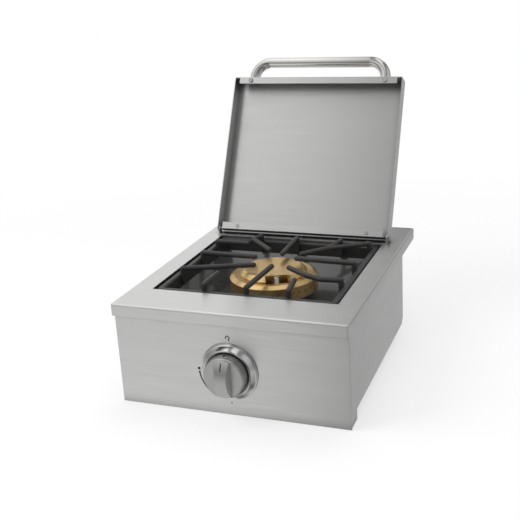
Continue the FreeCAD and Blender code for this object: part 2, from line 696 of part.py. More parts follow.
def make_burner():
    """The burner: a cast base, a ring with flame ports round it and the cap in its middle."""
    lip = "ring_radius - 1.2"
    base = turned_body("burner_base_form", [
        ("venturi_outer + hole_play", "floor_top - 8"), ("venturi_outer + 5", "floor_top - 8"),
        ("venturi_outer + 5", "floor_top"), ("ring_hole + 2", "floor_top"),
        ("ring_radius - 4", "ring_foot - 4"), (lip, "ring_foot - 1"), (lip, "ring_foot + 4"),
        ("ring_radius - 4", "ring_foot + 4"), ("ring_radius - 6.5", "ring_foot - 2"),
        ("ring_hole", "floor_top + foot_gauge"), ("venturi_outer + hole_play", "floor_top + foot_gauge")])
    place(base, "0", "burner_y", "0")
    boss = rod("base_boss", "electrode_x", "electrode_y", "floor_top", "ceramic_radius + 3", "boss_height")
    cuts = drill("base_screw_hole", BURNER_SCREWS, "-z", "12")
    cuts += drill("base_clip_hole", [clip_screw()], "-z", "panel_gauge + 3.4")
    cuts.append(rod("base_electrode_hole", "electrode_x", "electrode_y", "floor_top - 1",
                    "ceramic_radius + hole_play", "boss_height + 20"))
    node(cut("burner_base", fuse("burner_base_cast", [base, boss]), cuts))

    ring = turned_body("burner_ring_form", [
        ("ring_hole", "ring_top - 12"), ("ring_hole + ring_wall", "ring_top - 12"),
        ("ring_hole + ring_wall", "ring_top - 3"), ("ring_flat - 1", "ring_top - 3"),
        ("ring_radius - ring_wall", "ring_top - 5.6"), ("ring_radius - ring_wall", "ring_foot + 4"),
        ("ring_radius - 1", "ring_foot + 4"), ("ring_radius - 1", "ring_foot"),
        ("ring_radius", "ring_foot"), ("ring_radius", "ring_top - 4"), ("ring_flat", "ring_top"),
        ("ring_hole", "ring_top")])
    place(ring, "0", "burner_y", "0")
    add_flame_ports(ring)
    slot = facing_block("ring_electrode_slot", "-electrode_slot", "-cap_radius", "ring_foot - 1",
                        "2 * electrode_slot", "cap_radius - ring_hole + 8", "ring_height + 2")
    node(cut("outer_burner_ring", ring, [slot]))

    skirt = "ring_hole - 0.3"
    cap = turned_body("burner_cap_form", [
        ("ring_hole - 3", "ring_top - cap_skirt"), (skirt, "ring_top - cap_skirt"), (skirt, "ring_top"),
        ("cap_radius - 1", "ring_top"), ("cap_radius", "ring_top + 1"), ("cap_radius", "ring_top + 2"),
        ("cap_radius - 5", "cap_top - 1"), ("cap_flat", "cap_top"),
        ("0", "cap_top"), ("0", "cap_top - 3"), ("ring_hole - 3", "cap_top - 3")])
    place(cap, "0", "burner_y", "0")
    notch = facing_block("cap_notch", "-electrode_slot", "-cap_radius - 1", "ring_top - cap_skirt - 1",
                         "2 * electrode_slot", "cap_radius + 2 - ring_hole", "cap_skirt + cap_rise + 2")
    node(cut("inner_burner_cap", cap, [notch]))
    node(screws("burner_screws", BURNER_SCREWS, "z", "6"))


def add_flame_ports(ring):
    """Drills one port outward through the ring's wall and repeats it round the axis."""
    doc.recompute()
    solid = ring.Tip.Shape.Volume
    start = "ring_hole + ring_wall + 3"
    plan = body_sketch(ring, "port_plan", "XZ_Plane", start)
    radius, height = measure("port_radius"), measure("ring_top - 13")
    plan.addGeometry(Part.Circle(FreeCAD.Vector(0, height, 0), FreeCAD.Vector(0, 0, 1), radius), False)
    plan.addConstraint(Sketcher.Constraint("PointOnObject", 0, 3, -2))
    high = plan.addConstraint(Sketcher.Constraint("DistanceY", -1, 1, 0, 3, height))
    wide = plan.addConstraint(Sketcher.Constraint("Radius", 0, radius))
    plan.setExpression(f"Constraints[{high}]", formula("ring_top - 13"))
    plan.setExpression(f"Constraints[{wide}]", formula("port_radius"))
    port = ring.newObject("PartDesign::Pocket", "flame_port")
    port.Profile = plan
    port.Reversed = True
    bind(port, Length=f"ring_radius + 1 - ({start})")
    doc.recompute()
    require(ring.Tip.Shape.Volume < solid, "the flame port cuts nothing")
    ports = ring.newObject("PartDesign::PolarPattern", "flame_ports")
    ports.Originals = [port]
    axis = [f for f in ring.Origin.OriginFeatures if f.Role == "Z_Axis"][0]
    ports.Axis = (axis, [""])
    ports.Angle = 360
    ports.Occurrences = 40
    ring.Tip = ports


def clip_screw():
    """Where the screw of the electrode's clip sits, behind the electrode on the burner's base."""
    reach = "(clip_leg + panel_gauge + screw_head + 0.3)"
    return (f"-{reach} * sin(electrode_turn)", f"burner_y + {reach} * cos(electrode_turn)",
            "floor_top + foot_gauge + panel_gauge")


def make_electrode():
    """The spark electrode: a ceramic sleeve round a steel pin, held down by a clip."""
    foot = "floor_top - 3.5"
    seat = "floor_top + boss_height"
    x, y = "electrode_x", "electrode_y"
    sleeve = rod("electrode_sleeve", x, y, foot, "ceramic_radius", f"ring_top + 6 - ({foot})")
    collar = rod("electrode_collar", x, y, seat, "ceramic_radius + 1.2", "collar_height")
    bore = rod("electrode_bore", x, y, f"{foot} - 1", "pin_radius + 0.05", "80")
    node(cut("electrode_insulator", fuse("electrode_ceramic", [sleeve, collar]), [bore]))
    shaft = rod("electrode_shaft", x, y, foot, "pin_radius", f"ring_top + 8 - ({foot})")
    beak = block("electrode_beak", x, f"{y} - pin_radius * 0.7", "ring_top + 6.6", "5",
                 "pin_radius * 1.4", "1.4")
    node(fuse("electrode_pin", [shaft, beak]))
    top = f"{seat} + collar_height"
    flat = facing_block("clip_top", "-6", "-electrode_reach - 5", top, "12",
                        "clip_leg + panel_gauge + electrode_reach + 5", "panel_gauge")
    leg = facing_block("clip_upright", "-6", "clip_leg", "floor_top + foot_gauge", "12", "panel_gauge",
                       f"{top} + panel_gauge - floor_top - foot_gauge")
    tail = facing_block("clip_tail", "-6", "clip_leg", "floor_top + foot_gauge", "12", "10", "panel_gauge")
    hole = rod("clip_hole", x, y, f"{top} - 1", "ceramic_radius + hole_play", "panel_gauge + 2")
    holes = drill("clip_screw_hole", [clip_screw()], "-z", "panel_gauge + 1")
    node(cut("electrode_bracket", fuse("clip_form", [flat, leg, tail]), [hole] + holes))
    node(screw("electrode_screw", clip_screw(), "z", "panel_gauge + 3"))


def make_venturi():
    """The mixing tube from the gas jet to the burner, its air shutter and the saddle under it."""
    level = "knob_height"
    run = rod("venturi_run", "0", "mouth_y", level, "venturi_outer", "venturi_mouth", "y")
    riser = rod("venturi_riser", "0", "burner_y", level, "venturi_outer", f"floor_top + 3 - {level}")
    corner = ball("venturi_corner", "0", "burner_y", level, "venturi_outer")
    cuts = [rod("venturi_run_bore", "0", "mouth_y - 1", level, "venturi_bore", "venturi_mouth + 1", "y"),
            rod("venturi_riser_bore", "0", "burner_y", level, "venturi_bore", "80"),
            ball("venturi_corner_bore", "0", "burner_y", level, "venturi_bore"),
            middle_block("venturi_window", "mouth_y + 5", f"{level} - 5", "40", "shutter_length - 10",
                         "10")]
    node(cut("venturi_tube", fuse("venturi_form", [run, riser, corner]), cuts))

    sleeve = rod("shutter_sleeve", "0", "mouth_y + 1", level, "sleeve_outer", "shutter_length", "y")
    tab = block("shutter_tab", "-4", "mouth_y + 1", f"{level} - sleeve_outer - 7", "8", "1.6", "8")
    hollow = rod("shutter_hollow", "0", "mouth_y", level, "sleeve_bore", "shutter_length + 2", "y")
    window = middle_block("shutter_window", "mouth_y + 5", f"{level} - 5", "40", "shutter_length - 10",
                          "10")
    grip = ("-sleeve_outer", "mouth_y + shutter_length - 3.2", level)
    hole = drill("shutter_screw_hole", [grip], "x", "shutter_wall + 1")
    node(cut("air_shutter", fuse("shutter_form", [sleeve, tab]), [hollow, window] + hole))
    node(screw("shutter_screw", grip, "-x", "shutter_wall"))

    post = middle_block("saddle_post", "saddle_y", "panel_gauge", "saddle_width / 2", "saddle_length",
                        f"{level} - panel_gauge")
    seat = rod("saddle_seat", "0", "mouth_y", level, "venturi_outer", "venturi_mouth", "y")
    clear = middle_block("saddle_clear", "saddle_y + panel_gauge", "2 * panel_gauge", "saddle_width",
                         "saddle_length", "unit_height")
    node(cut("venturi_bracket", post, [seat, clear]))


def make_valve():
    """The gas valve, its jet, the bracket behind the fascia, and the stem that the knob turns."""
    level, half = "knob_height", "valve_width / 2"
    core = block("valve_core", f"-{half}", "valve_front", f"{level} - {half}", "valve_width",
                 "valve_depth", "valve_width")
    core = rounded("valve_core_round", core, "deck_bend", lambda edge, box: runs_along(edge, "y"))
    nose = rod("valve_nose", "0", "case_front", level, "nose_radius", "nose_length + panel_gauge", "y")
    outlet = rod("valve_outlet", "0", "valve_back", level, "5.5", "7", "y")
    inlet = rod("valve_inlet", f"-{half} - 6", "valve_y", level, "7", "6.5", "x")
    cuts = [rod("valve_cavity", "0", "case_front - 1", level, "nose_radius - 2.6", "nose_length + 1", "y"),
            rod("valve_bore", "0", "case_front", level, "stem_radius + stem_play",
                "nose_length + panel_gauge + 16", "y"),
            rod("valve_gas_way", "0", "valve_back - 4", level, "3", "12", "y"),
            rod("valve_side_way", f"-{half} - 7", "valve_y", level, "pipe_radius + hole_play", "8", "x")]
    node(cut("gas_valve_body", fuse("valve_form", [core, nose, outlet, inlet]), cuts))

    seat = "valve_back + 7"
    holder = hexagon("jet_hexagon", "0", seat, level, "6.4", "4", "y")
    neck = rod("jet_neck", "0", f"{seat} + 4", level, "4.5", "3", "y")
    way = rod("jet_way", "0", f"{seat} - 1", level, "2", "10", "y")
    node(cut("orifice_holder", fuse("jet_form", [holder, neck]), [way]))
    tip = taper("jet_tip", "0", f"{seat} + 7", level, "3.6", "2.4", "6", "y")
    hole = rod("jet_hole", "0", f"{seat} + 6", level, "0.8", "8", "y")
    node(cut("gas_orifice", tip, [hole]))

    plate = middle_block("bracket_plate", "bracket_y", f"{level} - bracket_half", "bracket_half",
                         "panel_gauge", "2 * bracket_half")
    shelf = middle_block("bracket_shelf", "bracket_y", "shelf_z", "bracket_half / 2", "valve_depth + 6",
                         "panel_gauge")
    hole = rod("bracket_hole", "0", "bracket_y - 1", level, "nose_radius + hole_play",
               "panel_gauge + 2", "y")
    holes = drill("bracket_screw_hole", BEZEL_SCREWS, "-y", "panel_gauge + 1")
    node(cut("valve_bracket", fuse("bracket_form", [plate, shelf]), [hole] + holes))
    node(screws("bezel_screws", BEZEL_SCREWS, "y", "2 * panel_gauge + 1.5"))

    shaft = rod("stem_shaft", "0", "case_front - knob_face + 6", level, "stem_radius",
                "knob_face - 6 + panel_gauge + nose_length + 8", "y")
    flat = middle_block("stem_flat", "case_front - knob_face + 5", f"{level} + stem_radius * 0.62", "10",
                        "knob_face - 8", "10")
    node(cut("valve_stem", shaft, [flat]))
    collar = rod("collar_disc", "0", "case_front + 0.6", level, "nose_radius - 2.9", "1.6", "y")
    way = rod("collar_hole", "0", "case_front", level, "stem_radius + stem_play", "4", "y")
    node(cut("thrust_collar", collar, [way]))


def make_spring():
    """The return spring round the stem, between the thrust collar and the floor of the valve's nose."""
    wire, turns = 0.45, 3
    radius = measure("stem_radius + stem_play") + 0.3 + wire
    start = measure("case_front + 0.6 + 1.6") + wire
    height = measure("case_front + nose_length") - wire - start
    helix = Part.makeHelix(height / turns, height, radius)
    circle = Part.Circle(FreeCAD.Vector(radius, 0, 0), FreeCAD.Vector(0, 1, 0), wire)
    spring = doc.addObject("Part::Feature", "stem_spring")
    spring.Shape = Part.Wire(helix.Edges).makePipeShell([Part.Wire([circle.toShape()])], True, True)
    spring.Placement = FreeCAD.Placement(FreeCAD.Vector(0, start, measure("knob_height")), TURNS["y"])
    return node(spring)


def make_knob():
    """The knob with its grip bar and the bezel that it turns in, both turned about the stem's axis."""
    level = "knob_height"
    knob = turned_body("knob_form", [
        ("0", "knob_stand"), ("knob_radius", "knob_stand"), ("knob_radius", "knob_stand + 3"),
        ("knob_nose + 0.6", "knob_face - 1.8"), ("knob_nose - 1", "knob_face"), ("0", "knob_face")])
    knob.Placement = FreeCAD.Placement(FreeCAD.Vector(0, 0, 0), TURNS["-y"])
    place(knob, "0", "case_front", level)
    front = "case_front - knob_face - grip_height"
    grip = turned("Part::Wedge", "grip_bar", ("0", "case_front", level), "z",
                  Xmin="-grip_width / 2", Xmax="grip_width / 2", X2min="-grip_foot / 2",
                  X2max="grip_foot / 2", Ymin="-knob_face - grip_height", Ymax="1 - knob_face",
                  Zmin="-knob_nose", Zmax="knob_nose", Z2min="-knob_nose", Z2max="knob_nose")
    crest = rod("grip_crest_round", "-knob_nose", f"{front} + grip_crest", level, "grip_crest",
                "2 * knob_nose", "x")
    limit = rod("grip_limit", "0", "case_front", level, "knob_nose - 1", "knob_face + grip_height + 1",
                "-y")
    grip = common("grip_trim", common("grip_bow", grip, crest), limit)
    whole = fuse("knob_whole", [knob, grip])
    inner = "knob_face - knob_stand - 5"
    mouth = "case_front - knob_stand + 1"
    bore = rod("knob_bore", "0", mouth, level, "stem_radius + stem_play / 2", inner, "-y")
    key = middle_block("knob_bore_key", "case_front - knob_face + 6",
                       f"{level} + stem_radius * 0.62 + stem_play / 2", "10",
                       "knob_face - knob_stand - 10", "10")
    skirt = rod("knob_skirt", "0", mouth, level, "knob_radius - 4", inner, "-y")
    core = rod("knob_core", "0", "case_front - knob_stand + 2", level, "9", "knob_face - knob_stand", "-y")
    hollows = fuse("knob_hollows", [cut("knob_cavity", skirt, [core]), cut("knob_key", bore, [key])])
    mark = middle_block("index_block", f"{front} - 0.5", f"{level} + knob_nose - 14", "0.7",
                        "grip_height", "10")
    floor = rod("index_floor", "-knob_nose", f"{front} + grip_crest", level, "grip_crest - 0.6",
                "2 * knob_nose", "x")
    index = cut("knob_index", mark, [floor])
    node(cut("control_knob", whole, [hollows, index]))

    bezel = turned_body("bezel_form", [
        ("bezel_bore", "0"), ("bezel_radius", "0"), ("bezel_radius", "1.4"), ("bezel_radius - 2", "2.2"),
        ("bezel_radius - 3", "3.2"), ("bezel_bore + 3.2", "bezel_height"),
        ("bezel_bore + 1.6", "bezel_height + 0.8"), ("bezel_bore", "bezel_height - 0.4")])
    bezel.Placement = FreeCAD.Placement(FreeCAD.Vector(0, 0, 0), TURNS["-y"])
    place(bezel, "0", "case_front", level)
    holes = drill("bezel_hole", BEZEL_SCREWS, "-y", "2 * panel_gauge + 2.2")
    node(cut("knob_bezel", bezel, holes))


def bent_rod(name, points, radius, bend):
    """A round rod along straight runs and arcs, through corners given as (x, y, z) formulas."""
    corners = [FreeCAD.Vector(*[measure(text) for text in point]) for point in points]
    size, turn = measure(radius), measure(bend)
    edges = []
    here = corners[0]
    for before, corner, after in zip(corners, corners[1:], corners[2:]):
        into = (corner - before).normalize()
        out = (after - corner).normalize()
        half = into.getAngle(out) / 2
        start = corner - into * (turn * math.tan(half))
        end = corner + out * (turn * math.tan(half))
        middle = corner + (out - into).normalize() * (turn / math.cos(half) - turn)
        edges.append(Part.LineSegment(here, start).toShape())
        edges.append(Part.Arc(start, middle, end).toShape())
        here = end
    edges.append(Part.LineSegment(here, corners[-1]).toShape())
    circle = Part.Circle(corners[0], (corners[1] - corners[0]).normalize(), size)
    item = doc.addObject("Part::Feature", name)
    item.Shape = Part.Wire(edges).makePipeShell([Part.Wire([circle.toShape()])], True, True)
    return item


def make_gas_line():
    """The supply pipe from the rear fitting to the valve, with its nuts and the clip that carries it."""
    level, side = "knob_height", "-pipe_side"
    points = [("-valve_width / 2 - 3", "valve_y", level), (side, "valve_y", level),
              (side, "wall_y - 13", level)]
    outer = bent_rod("pipe_outside", points, "pipe_radius", "pipe_bend")
    inner = bent_rod("pipe_inside", points, "pipe_radius - 1", "pipe_bend")
    node(cut("supply_pipe", outer, [inner]))

    nut = hexagon("pipe_nut", "-valve_width / 2 - 16", "valve_y", level, "9.5", "10", "x")
    way = rod("pipe_nut_bore", "-valve_width / 2 - 17", "valve_y", level, "pipe_radius + hole_play",
              "12", "x")
    node(cut("valve_inlet_nut", nut, [way]))

    head = hexagon("fitting_hexagon", side, "wall_y - 14", level, "fitting_hex", "14", "y")
    thread = rod("fitting_thread", side, "wall_y", level, "flare_radius", "lock_y - wall_y", "y")
    groove = rod("fitting_groove", side, "lock_y", level, "flare_radius - 0.8", "1.5", "y")
    flare = rod("fitting_flare", side, "lock_y + 1.5", level, "flare_radius",
                "case_back + flare_length - 4 - (lock_y + 1.5)", "y")
    cone = taper("fitting_cone", side, "case_back + flare_length - 4", level, "flare_radius",
                 "flare_radius - 3.4", "4", "y")
    bore = rod("fitting_bore", side, "wall_y - 20", level, "3.6", "60", "y")
    socket = rod("fitting_socket", side, "wall_y - 15", level, "pipe_radius + hole_play", "5", "y")
    node(cut("inlet_fitting", fuse("fitting_form", [head, thread, groove, flare, cone]), [bore, socket]))

    lock = hexagon("lock_hexagon", side, "wall_y + panel_gauge", level, "fitting_hex", "lock_length", "y")
    way = rod("lock_bore", side, "wall_y", level, "flare_radius + hole_play", "lock_length + 3", "y")
    node(cut("bulkhead_nut", lock, [way]))

    post = block("clamp_post", f"{side} - clamp_width / 2", "clamp_place", "panel_gauge", "clamp_width",
                 "panel_gauge", f"{level} + pipe_radius + 5")
    foot = block("clamp_foot", f"{side} - clamp_width / 2", "clamp_place", "panel_gauge", "clamp_width",
                 "clamp_width", "panel_gauge")
    way = rod("clamp_way", side, "clamp_place - 1", level, "pipe_radius + hole_play", "panel_gauge + 2", "y")
    node(cut("pipe_clamp", fuse("clamp_form", [post, foot]), [way]))


def make_igniter():
    """The spark generator on the valve's bracket, and its lead to the foot of the electrode."""
    base = "shelf_z + panel_gauge"
    case = block("igniter_case", "-9", "igniter_y", base, "18", "26", "15")
    case = rounded("igniter_round", case, "panel_gauge", lambda edge, box: runs_along(edge, "y"))
    blade = block("igniter_blade", "-3", "igniter_y + 26", "lead_z - 0.6", "6", "8", "1.2")
    node(fuse("piezo_igniter", [case, blade]))
    points = [("0", "igniter_y + 34", "lead_z"), ("0", "igniter_y + 58", "lead_z"),
              ("electrode_x", "electrode_y", "lead_z"), ("electrode_x", "electrode_y", "floor_top - 3.5")]
    node(bent_rod("igniter_cable", points, "lead_radius", "lead_bend"))


def make_lid():
    """The lid, drawn closed with the hinge's axis as origin: a folded shell with lugs for the pins."""
    low, back = "rim_z", "lid_back - lid_gauge"
    slab = middle_block("lid_slab", "lid_front", low, "half_lid", "lid_length", "lid_depth")
    soft = rounded("lid_bends", slab, "lid_bend",
                   lambda edge, box: at_height(edge, box.ZMax) or runs_along(edge, "z"))
    hollow = middle_block("lid_hollow", "lid_front + lid_gauge", f"{low} - 1", "half_lid - lid_gauge",
                          "lid_length - 2 * lid_gauge", "lid_depth - lid_gauge + 1")
    half = "half_lid - lid_gauge - 7.5"
    pieces = [cut("lid_box", soft, [hollow]),
              middle_block("lid_front_flange", "lid_front", low, half, "lid_flange", "lid_gauge"),
              middle_block("lid_back_flange", "lid_back - lid_flange", low, half, "lid_flange", "lid_gauge")]
    cuts = []
    for side, wall, gap in (("left", "-half_lid", "-half_lid + lid_gauge"),
                            ("right", "half_lid - lid_gauge", "half_lid - lid_gauge - 6")):
        pieces.append(rod(f"lid_lug_{side}", wall, "0", "0", "lug_radius", "lid_gauge", "x"))
        cuts.append(rod(f"lid_pin_hole_{side}", f"{wall} - 1", "0", "0", "hinge_pin + pin_play",
                        "lid_gauge + 2", "x"))
        cuts.append(block(f"lid_ear_gap_{side}", gap, f"{back} - 3", f"{low} - 1", "6", "lid_gauge + 7",
                          "hinge_rise + 10"))
    cuts += drill("lid_handle_hole", HANDLE_SCREWS, "-y", "lid_gauge + washer_gauge + 1")
    cuts += drill("lid_rivet_hole", [shifted(p, "-z", "1") for p in LID_RIVETS], "z", "lid_gauge + 2",
                  "1.5 + hole_play")
    hang(cut("lid_shell", fuse("lid_form", pieces), cuts))

    bumpers = [rod(f"bumper_{side + 1}", f"{side} * half_lid * 0.8", "lid_front + lid_flange / 2",
                   "rim_z - bumper_height", "3.5", "bumper_height") for side in (-1, 1)]
    hang(group("lid_bumpers", bumpers))
    rivets = []
    for i, (x, y, z) in enumerate(LID_RIVETS):
        head = rod(f"rivet_head_{i}", x, y, f"{z} - 0.7", "3", "0.7")
        stem = rod(f"rivet_stem_{i}", x, y, z, "1.5", "lid_gauge")
        tail = rod(f"rivet_tail_{i}", x, y, f"{z} + lid_gauge", "2.6", "0.8")
        rivets.append(fuse(f"rivet_{i}", [head, stem, tail]))
    hang(group("lid_rivets", rivets))


def make_handle():
    """The tube handle on the lid's front wall, with the washers and screws that hold it from inside."""
    level = "rim_z + lid_depth / 2"
    half, reach = "handle_span / 2", "lid_front - handle_height"
    points = [(f"-{half}", "lid_front", level), (f"-{half}", reach, level), (half, reach, level),
              (half, "lid_front", level)]
    bow = bent_rod("handle_bow", points, "handle_radius", "handle_bend")
    threads = drill("handle_thread", HANDLE_SCREWS, "-y", "lid_gauge + washer_gauge + 8")
    hang(cut("lid_handle", bow, threads))
    hang(screws("handle_screws", HANDLE_SCREWS, "y", "lid_gauge + washer_gauge + 6"))
    discs = [rod(f"washer_disc_{i}", *p, "washer_radius", "washer_gauge", "-y")
             for i, p in enumerate(HANDLE_SCREWS)]
    ways = drill("washer_hole", [shifted(p, "y", "1") for p in HANDLE_SCREWS], "-y", "washer_gauge + 2")
    hang(cut("handle_washers", group("washer_discs", discs), ways))


def make_hinge():
    """The strip on the deck whose two ears carry the lid's pins, with flush screws."""
    start = "opening_back + strip_margin"
    pieces = [middle_block("strip_plate", start, "unit_height", "ear_outer", "strip_width", "ear_gauge")]
    for side, x in (("left", "-ear_outer"), ("right", "ear_outer - ear_gauge")):
        pieces.append(block(f"ear_web_{side}", x, "hinge_y - lug_radius", "unit_height", "ear_gauge",
                            "2 * lug_radius", "hinge_z - unit_height"))
        pieces.append(rod(f"ear_round_{side}", x, "hinge_y", "hinge_z", "lug_radius", "ear_gauge", "x"))
    cuts = [rod("ear_hole", "-ear_outer - 1", "hinge_y", "hinge_z", "hinge_pin + pin_play",
                "2 * ear_outer + 2", "x")]
    cuts += drill("strip_hole", STRIP_SCREWS, "-z", "ear_gauge + 2")
    heads = []
    for i, point in enumerate(STRIP_SCREWS):
        cuts.append(taper(f"strip_sink_{i}", *point, "screw_head - 0.4", "screw_shank", "ear_gauge", "-z"))
        head = taper(f"strip_head_{i}", *point, "screw_head - 0.6", "screw_shank - 0.2", "ear_gauge", "-z")
        socket = hexagon(f"strip_socket_{i}", *shifted(point, "-z", "0.8"), "1.5", "2")
        root = shifted(point, "-z", "ear_gauge * 0.7")
        stem = rod(f"strip_stem_{i}", *root, "screw_shank - 0.2", "deck_gauge + ear_gauge * 0.3 - 0.1", "-z")
        heads.append(cut(f"strip_screw_{i}", fuse(f"strip_screw_form_{i}", [head, stem]), [socket]))
    node(cut("hinge_strip", fuse("strip_form", pieces), cuts))
    node(group("hinge_strip_screws", heads))
    for name, side in (("left_hinge_pin", -1), ("right_hinge_pin", 1)):
        way = "x" if side > 0 else "-x"
        shank = rod(name + "_shank", f"{side} * (ear_outer - ear_gauge - 1.2)", "hinge_y", "hinge_z",
                    "hinge_pin", "1.2 + ear_gauge + ear_gap + lid_gauge + 0.3", way)
        head = taper(name + "_head", f"{side} * (half_lid + 0.3)", "hinge_y", "hinge_z", "hinge_pin + 1.6",
                     "hinge_pin + 0.9", "1.2", way)
        rivet = rod(name + "_rivet", f"{side} * (ear_outer - ear_gauge)", "hinge_y", "hinge_z",
                    "hinge_pin + 1.2", "1.2", opposite(way))
        node(fuse(name, [shank, head, rivet]))


def make_case_screws():
    """The screws that hold the tray, the rear panel and the well."""
    node(screws("tray_screws", TRAY_SCREWS, "-z", "2 * panel_gauge + 2"))
    node(screws("panel_screws", BACK_SCREWS, "y", "2 * panel_gauge + 2"))
    node(screws("well_screws", WELL_SCREWS, "-z", "well_gauge + deck_gauge + 1"))


def require(true, words):
    if not true:
        raise RuntimeError(words)


def check(items):
    """Stops if any object failed or any piece is empty or invalid."""
    for item in doc.Objects:
        require("Invalid" not in item.State and "Error" not in item.State, f"{item.Label} failed")
    for item in items:
        fine = not item.Shape.isNull() and item.Shape.isValid() and item.Shape.Solids
        require(fine, f"{item.Label} has no valid solid")


def export(items):
    """Writes each piece's shape to its own file."""
    for item in items:
        item.Shape.exportStep(f"parts/{item.Label}.step")


def main():
    write_sheet()
    make_deck()
    make_fascia()
    make_side_panel("left_side_panel", -1)
    make_side_panel("right_side_panel", 1)
    make_rear_panel()
    make_base_tray()
    make_well()
    make_grate()
    make_burner()
    make_electrode()
    make_venturi()
    make_valve()
    make_spring()
    make_knob()
    make_gas_line()
    make_igniter()
    make_hinge()
    make_lid()
    make_handle()
    make_case_screws()
    doc.recompute()
    check(NODES)
    export(NODES)
    for item in NODES:
        print(item.Label, len(item.Shape.Solids), round(item.Shape.Volume / 1000, 2))


main()
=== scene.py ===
# %% [markdown]
# A built-in side burner for an outdoor kitchen, dressed for its picture.
# The solids come ready made and to scale, so this lesson is about everything that the eye
# reads on them: brushed sheet, cast iron, turned brass, enamel, ink and light.
# Every pattern is drawn with noise and formulas, so nothing here needs a picture file, and a
# scale or a shade changes with one number.
# Lengths are metres. X runs across the front, Y from the knob to the back, Z up.

import math

import bmesh
import bpy
from mathutils import Euler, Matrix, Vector


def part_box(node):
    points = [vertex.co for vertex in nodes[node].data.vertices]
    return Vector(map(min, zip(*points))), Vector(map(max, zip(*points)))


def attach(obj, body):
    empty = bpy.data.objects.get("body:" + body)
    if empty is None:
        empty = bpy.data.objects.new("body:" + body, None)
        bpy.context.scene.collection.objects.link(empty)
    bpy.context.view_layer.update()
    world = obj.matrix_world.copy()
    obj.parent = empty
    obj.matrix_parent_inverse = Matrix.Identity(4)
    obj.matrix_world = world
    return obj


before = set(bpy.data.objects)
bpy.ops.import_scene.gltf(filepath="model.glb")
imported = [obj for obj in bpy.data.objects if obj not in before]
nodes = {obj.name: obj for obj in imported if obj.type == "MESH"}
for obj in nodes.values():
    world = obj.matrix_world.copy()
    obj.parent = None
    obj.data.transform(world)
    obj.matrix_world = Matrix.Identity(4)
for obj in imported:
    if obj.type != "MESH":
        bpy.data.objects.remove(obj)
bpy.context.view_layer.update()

# %% [markdown]
# Colours are written the way a paint chart or a picture gives them, as sRGB hex.
# Blender calculates in linear light, so one function does the change for the whole file.
# The second helper adds one shader node with its settings and its links. A material is then
# a short list of such calls, and it reads from the pattern up to the surface. The same tree
# could be wired by hand in the shader editor, but a list is easier to compare and to change.

# %% Colours and nodes
def paint(code):
    """An sRGB hex colour as linear red, green, blue and alpha."""
    parts = [int(code[i:i + 2], 16) / 255 for i in (1, 3, 5)]
    return [c / 12.92 if c <= 0.04045 else ((c + 0.055) / 1.055) ** 2.4 for c in parts] + [1.0]


def add(tree, kind, inputs=None, **settings):
    """Adds one shader node. An input is a value, or another node's socket to link from."""
    node = tree.nodes.new("ShaderNode" + kind)
    for name, value in settings.items():
        setattr(node, name, value)
    for name, value in (inputs or {}).items():
        if isinstance(value, bpy.types.NodeSocket):
            tree.links.new(value, node.inputs[name])
        else:
            node.inputs[name].default_value = value
    return node


def new_finish(name):
    """An empty material, and the tree that its nodes go in."""
    material = bpy.data.materials.new(name)
    material.use_nodes = True
    material.node_tree.nodes.clear()
    return material, material.node_tree


print("mid grey:", [round(c, 3) for c in paint("#808080")])

# %% [markdown]
# The camera stands where the photographer's did: a little above the deck, to the right of
# the knob, and close enough for the sides to converge. It could be placed by eye, but the
# corners of the deck, the fascia and the lid tell more, so it was solved from those. A small
# shift stands for the crop of the picture.

# %% Camera
camera_data = bpy.data.cameras.new("camera")
camera_data.sensor_width = 36.0
camera_data.lens = 60.155
camera_data.shift_x = -0.0444
camera_data.shift_y = -0.0498
camera = bpy.data.objects.new("camera", camera_data)
camera.location = (0.4283, -1.0973, 0.5734)
camera.rotation_euler = Euler([math.radians(a) for a in (72.45, 2.81, 19.22)])
bpy.context.scene.collection.objects.link(camera)
bpy.context.scene.camera = camera
bpy.context.scene.view_settings.view_transform = "Standard"
print("camera distance:", round(camera.location.length, 3), "m")

# %% [markdown]
# The stage is a pale floor that fades into a white background, as seamless paper does in a
# studio. For light it is plain matt paper, so it takes the soft shadow of the burner. For the
# camera a share of it glows white: six tenths close to the burner and all of it from 1.3 m on.
# More light would whiten the paper too, but it would also burn out the steel. The glow lifts
# the paper alone, leaves the shadow faint, and hides the far edge of the floor.

# %% Floor
FLOOR_HALF = 12.0
FLOOR_DROP = 0.0004  # below the base tray, so that the two faces don't flicker
GLOW_NEAR, SHARE_NEAR = 0.45, 0.62  # a distance from the burner, and the share of glow there
GLOW_FAR, SHARE_FAR = 1.3, 1.0

floor_mesh = bpy.data.meshes.new("floor")
sheet = bmesh.new()
bmesh.ops.create_grid(sheet, x_segments=8, y_segments=8, size=FLOOR_HALF)
sheet.to_mesh(floor_mesh)
sheet.free()
floor = bpy.data.objects.new("floor", floor_mesh)
floor.location.z = -FLOOR_DROP
bpy.context.scene.collection.objects.link(floor)

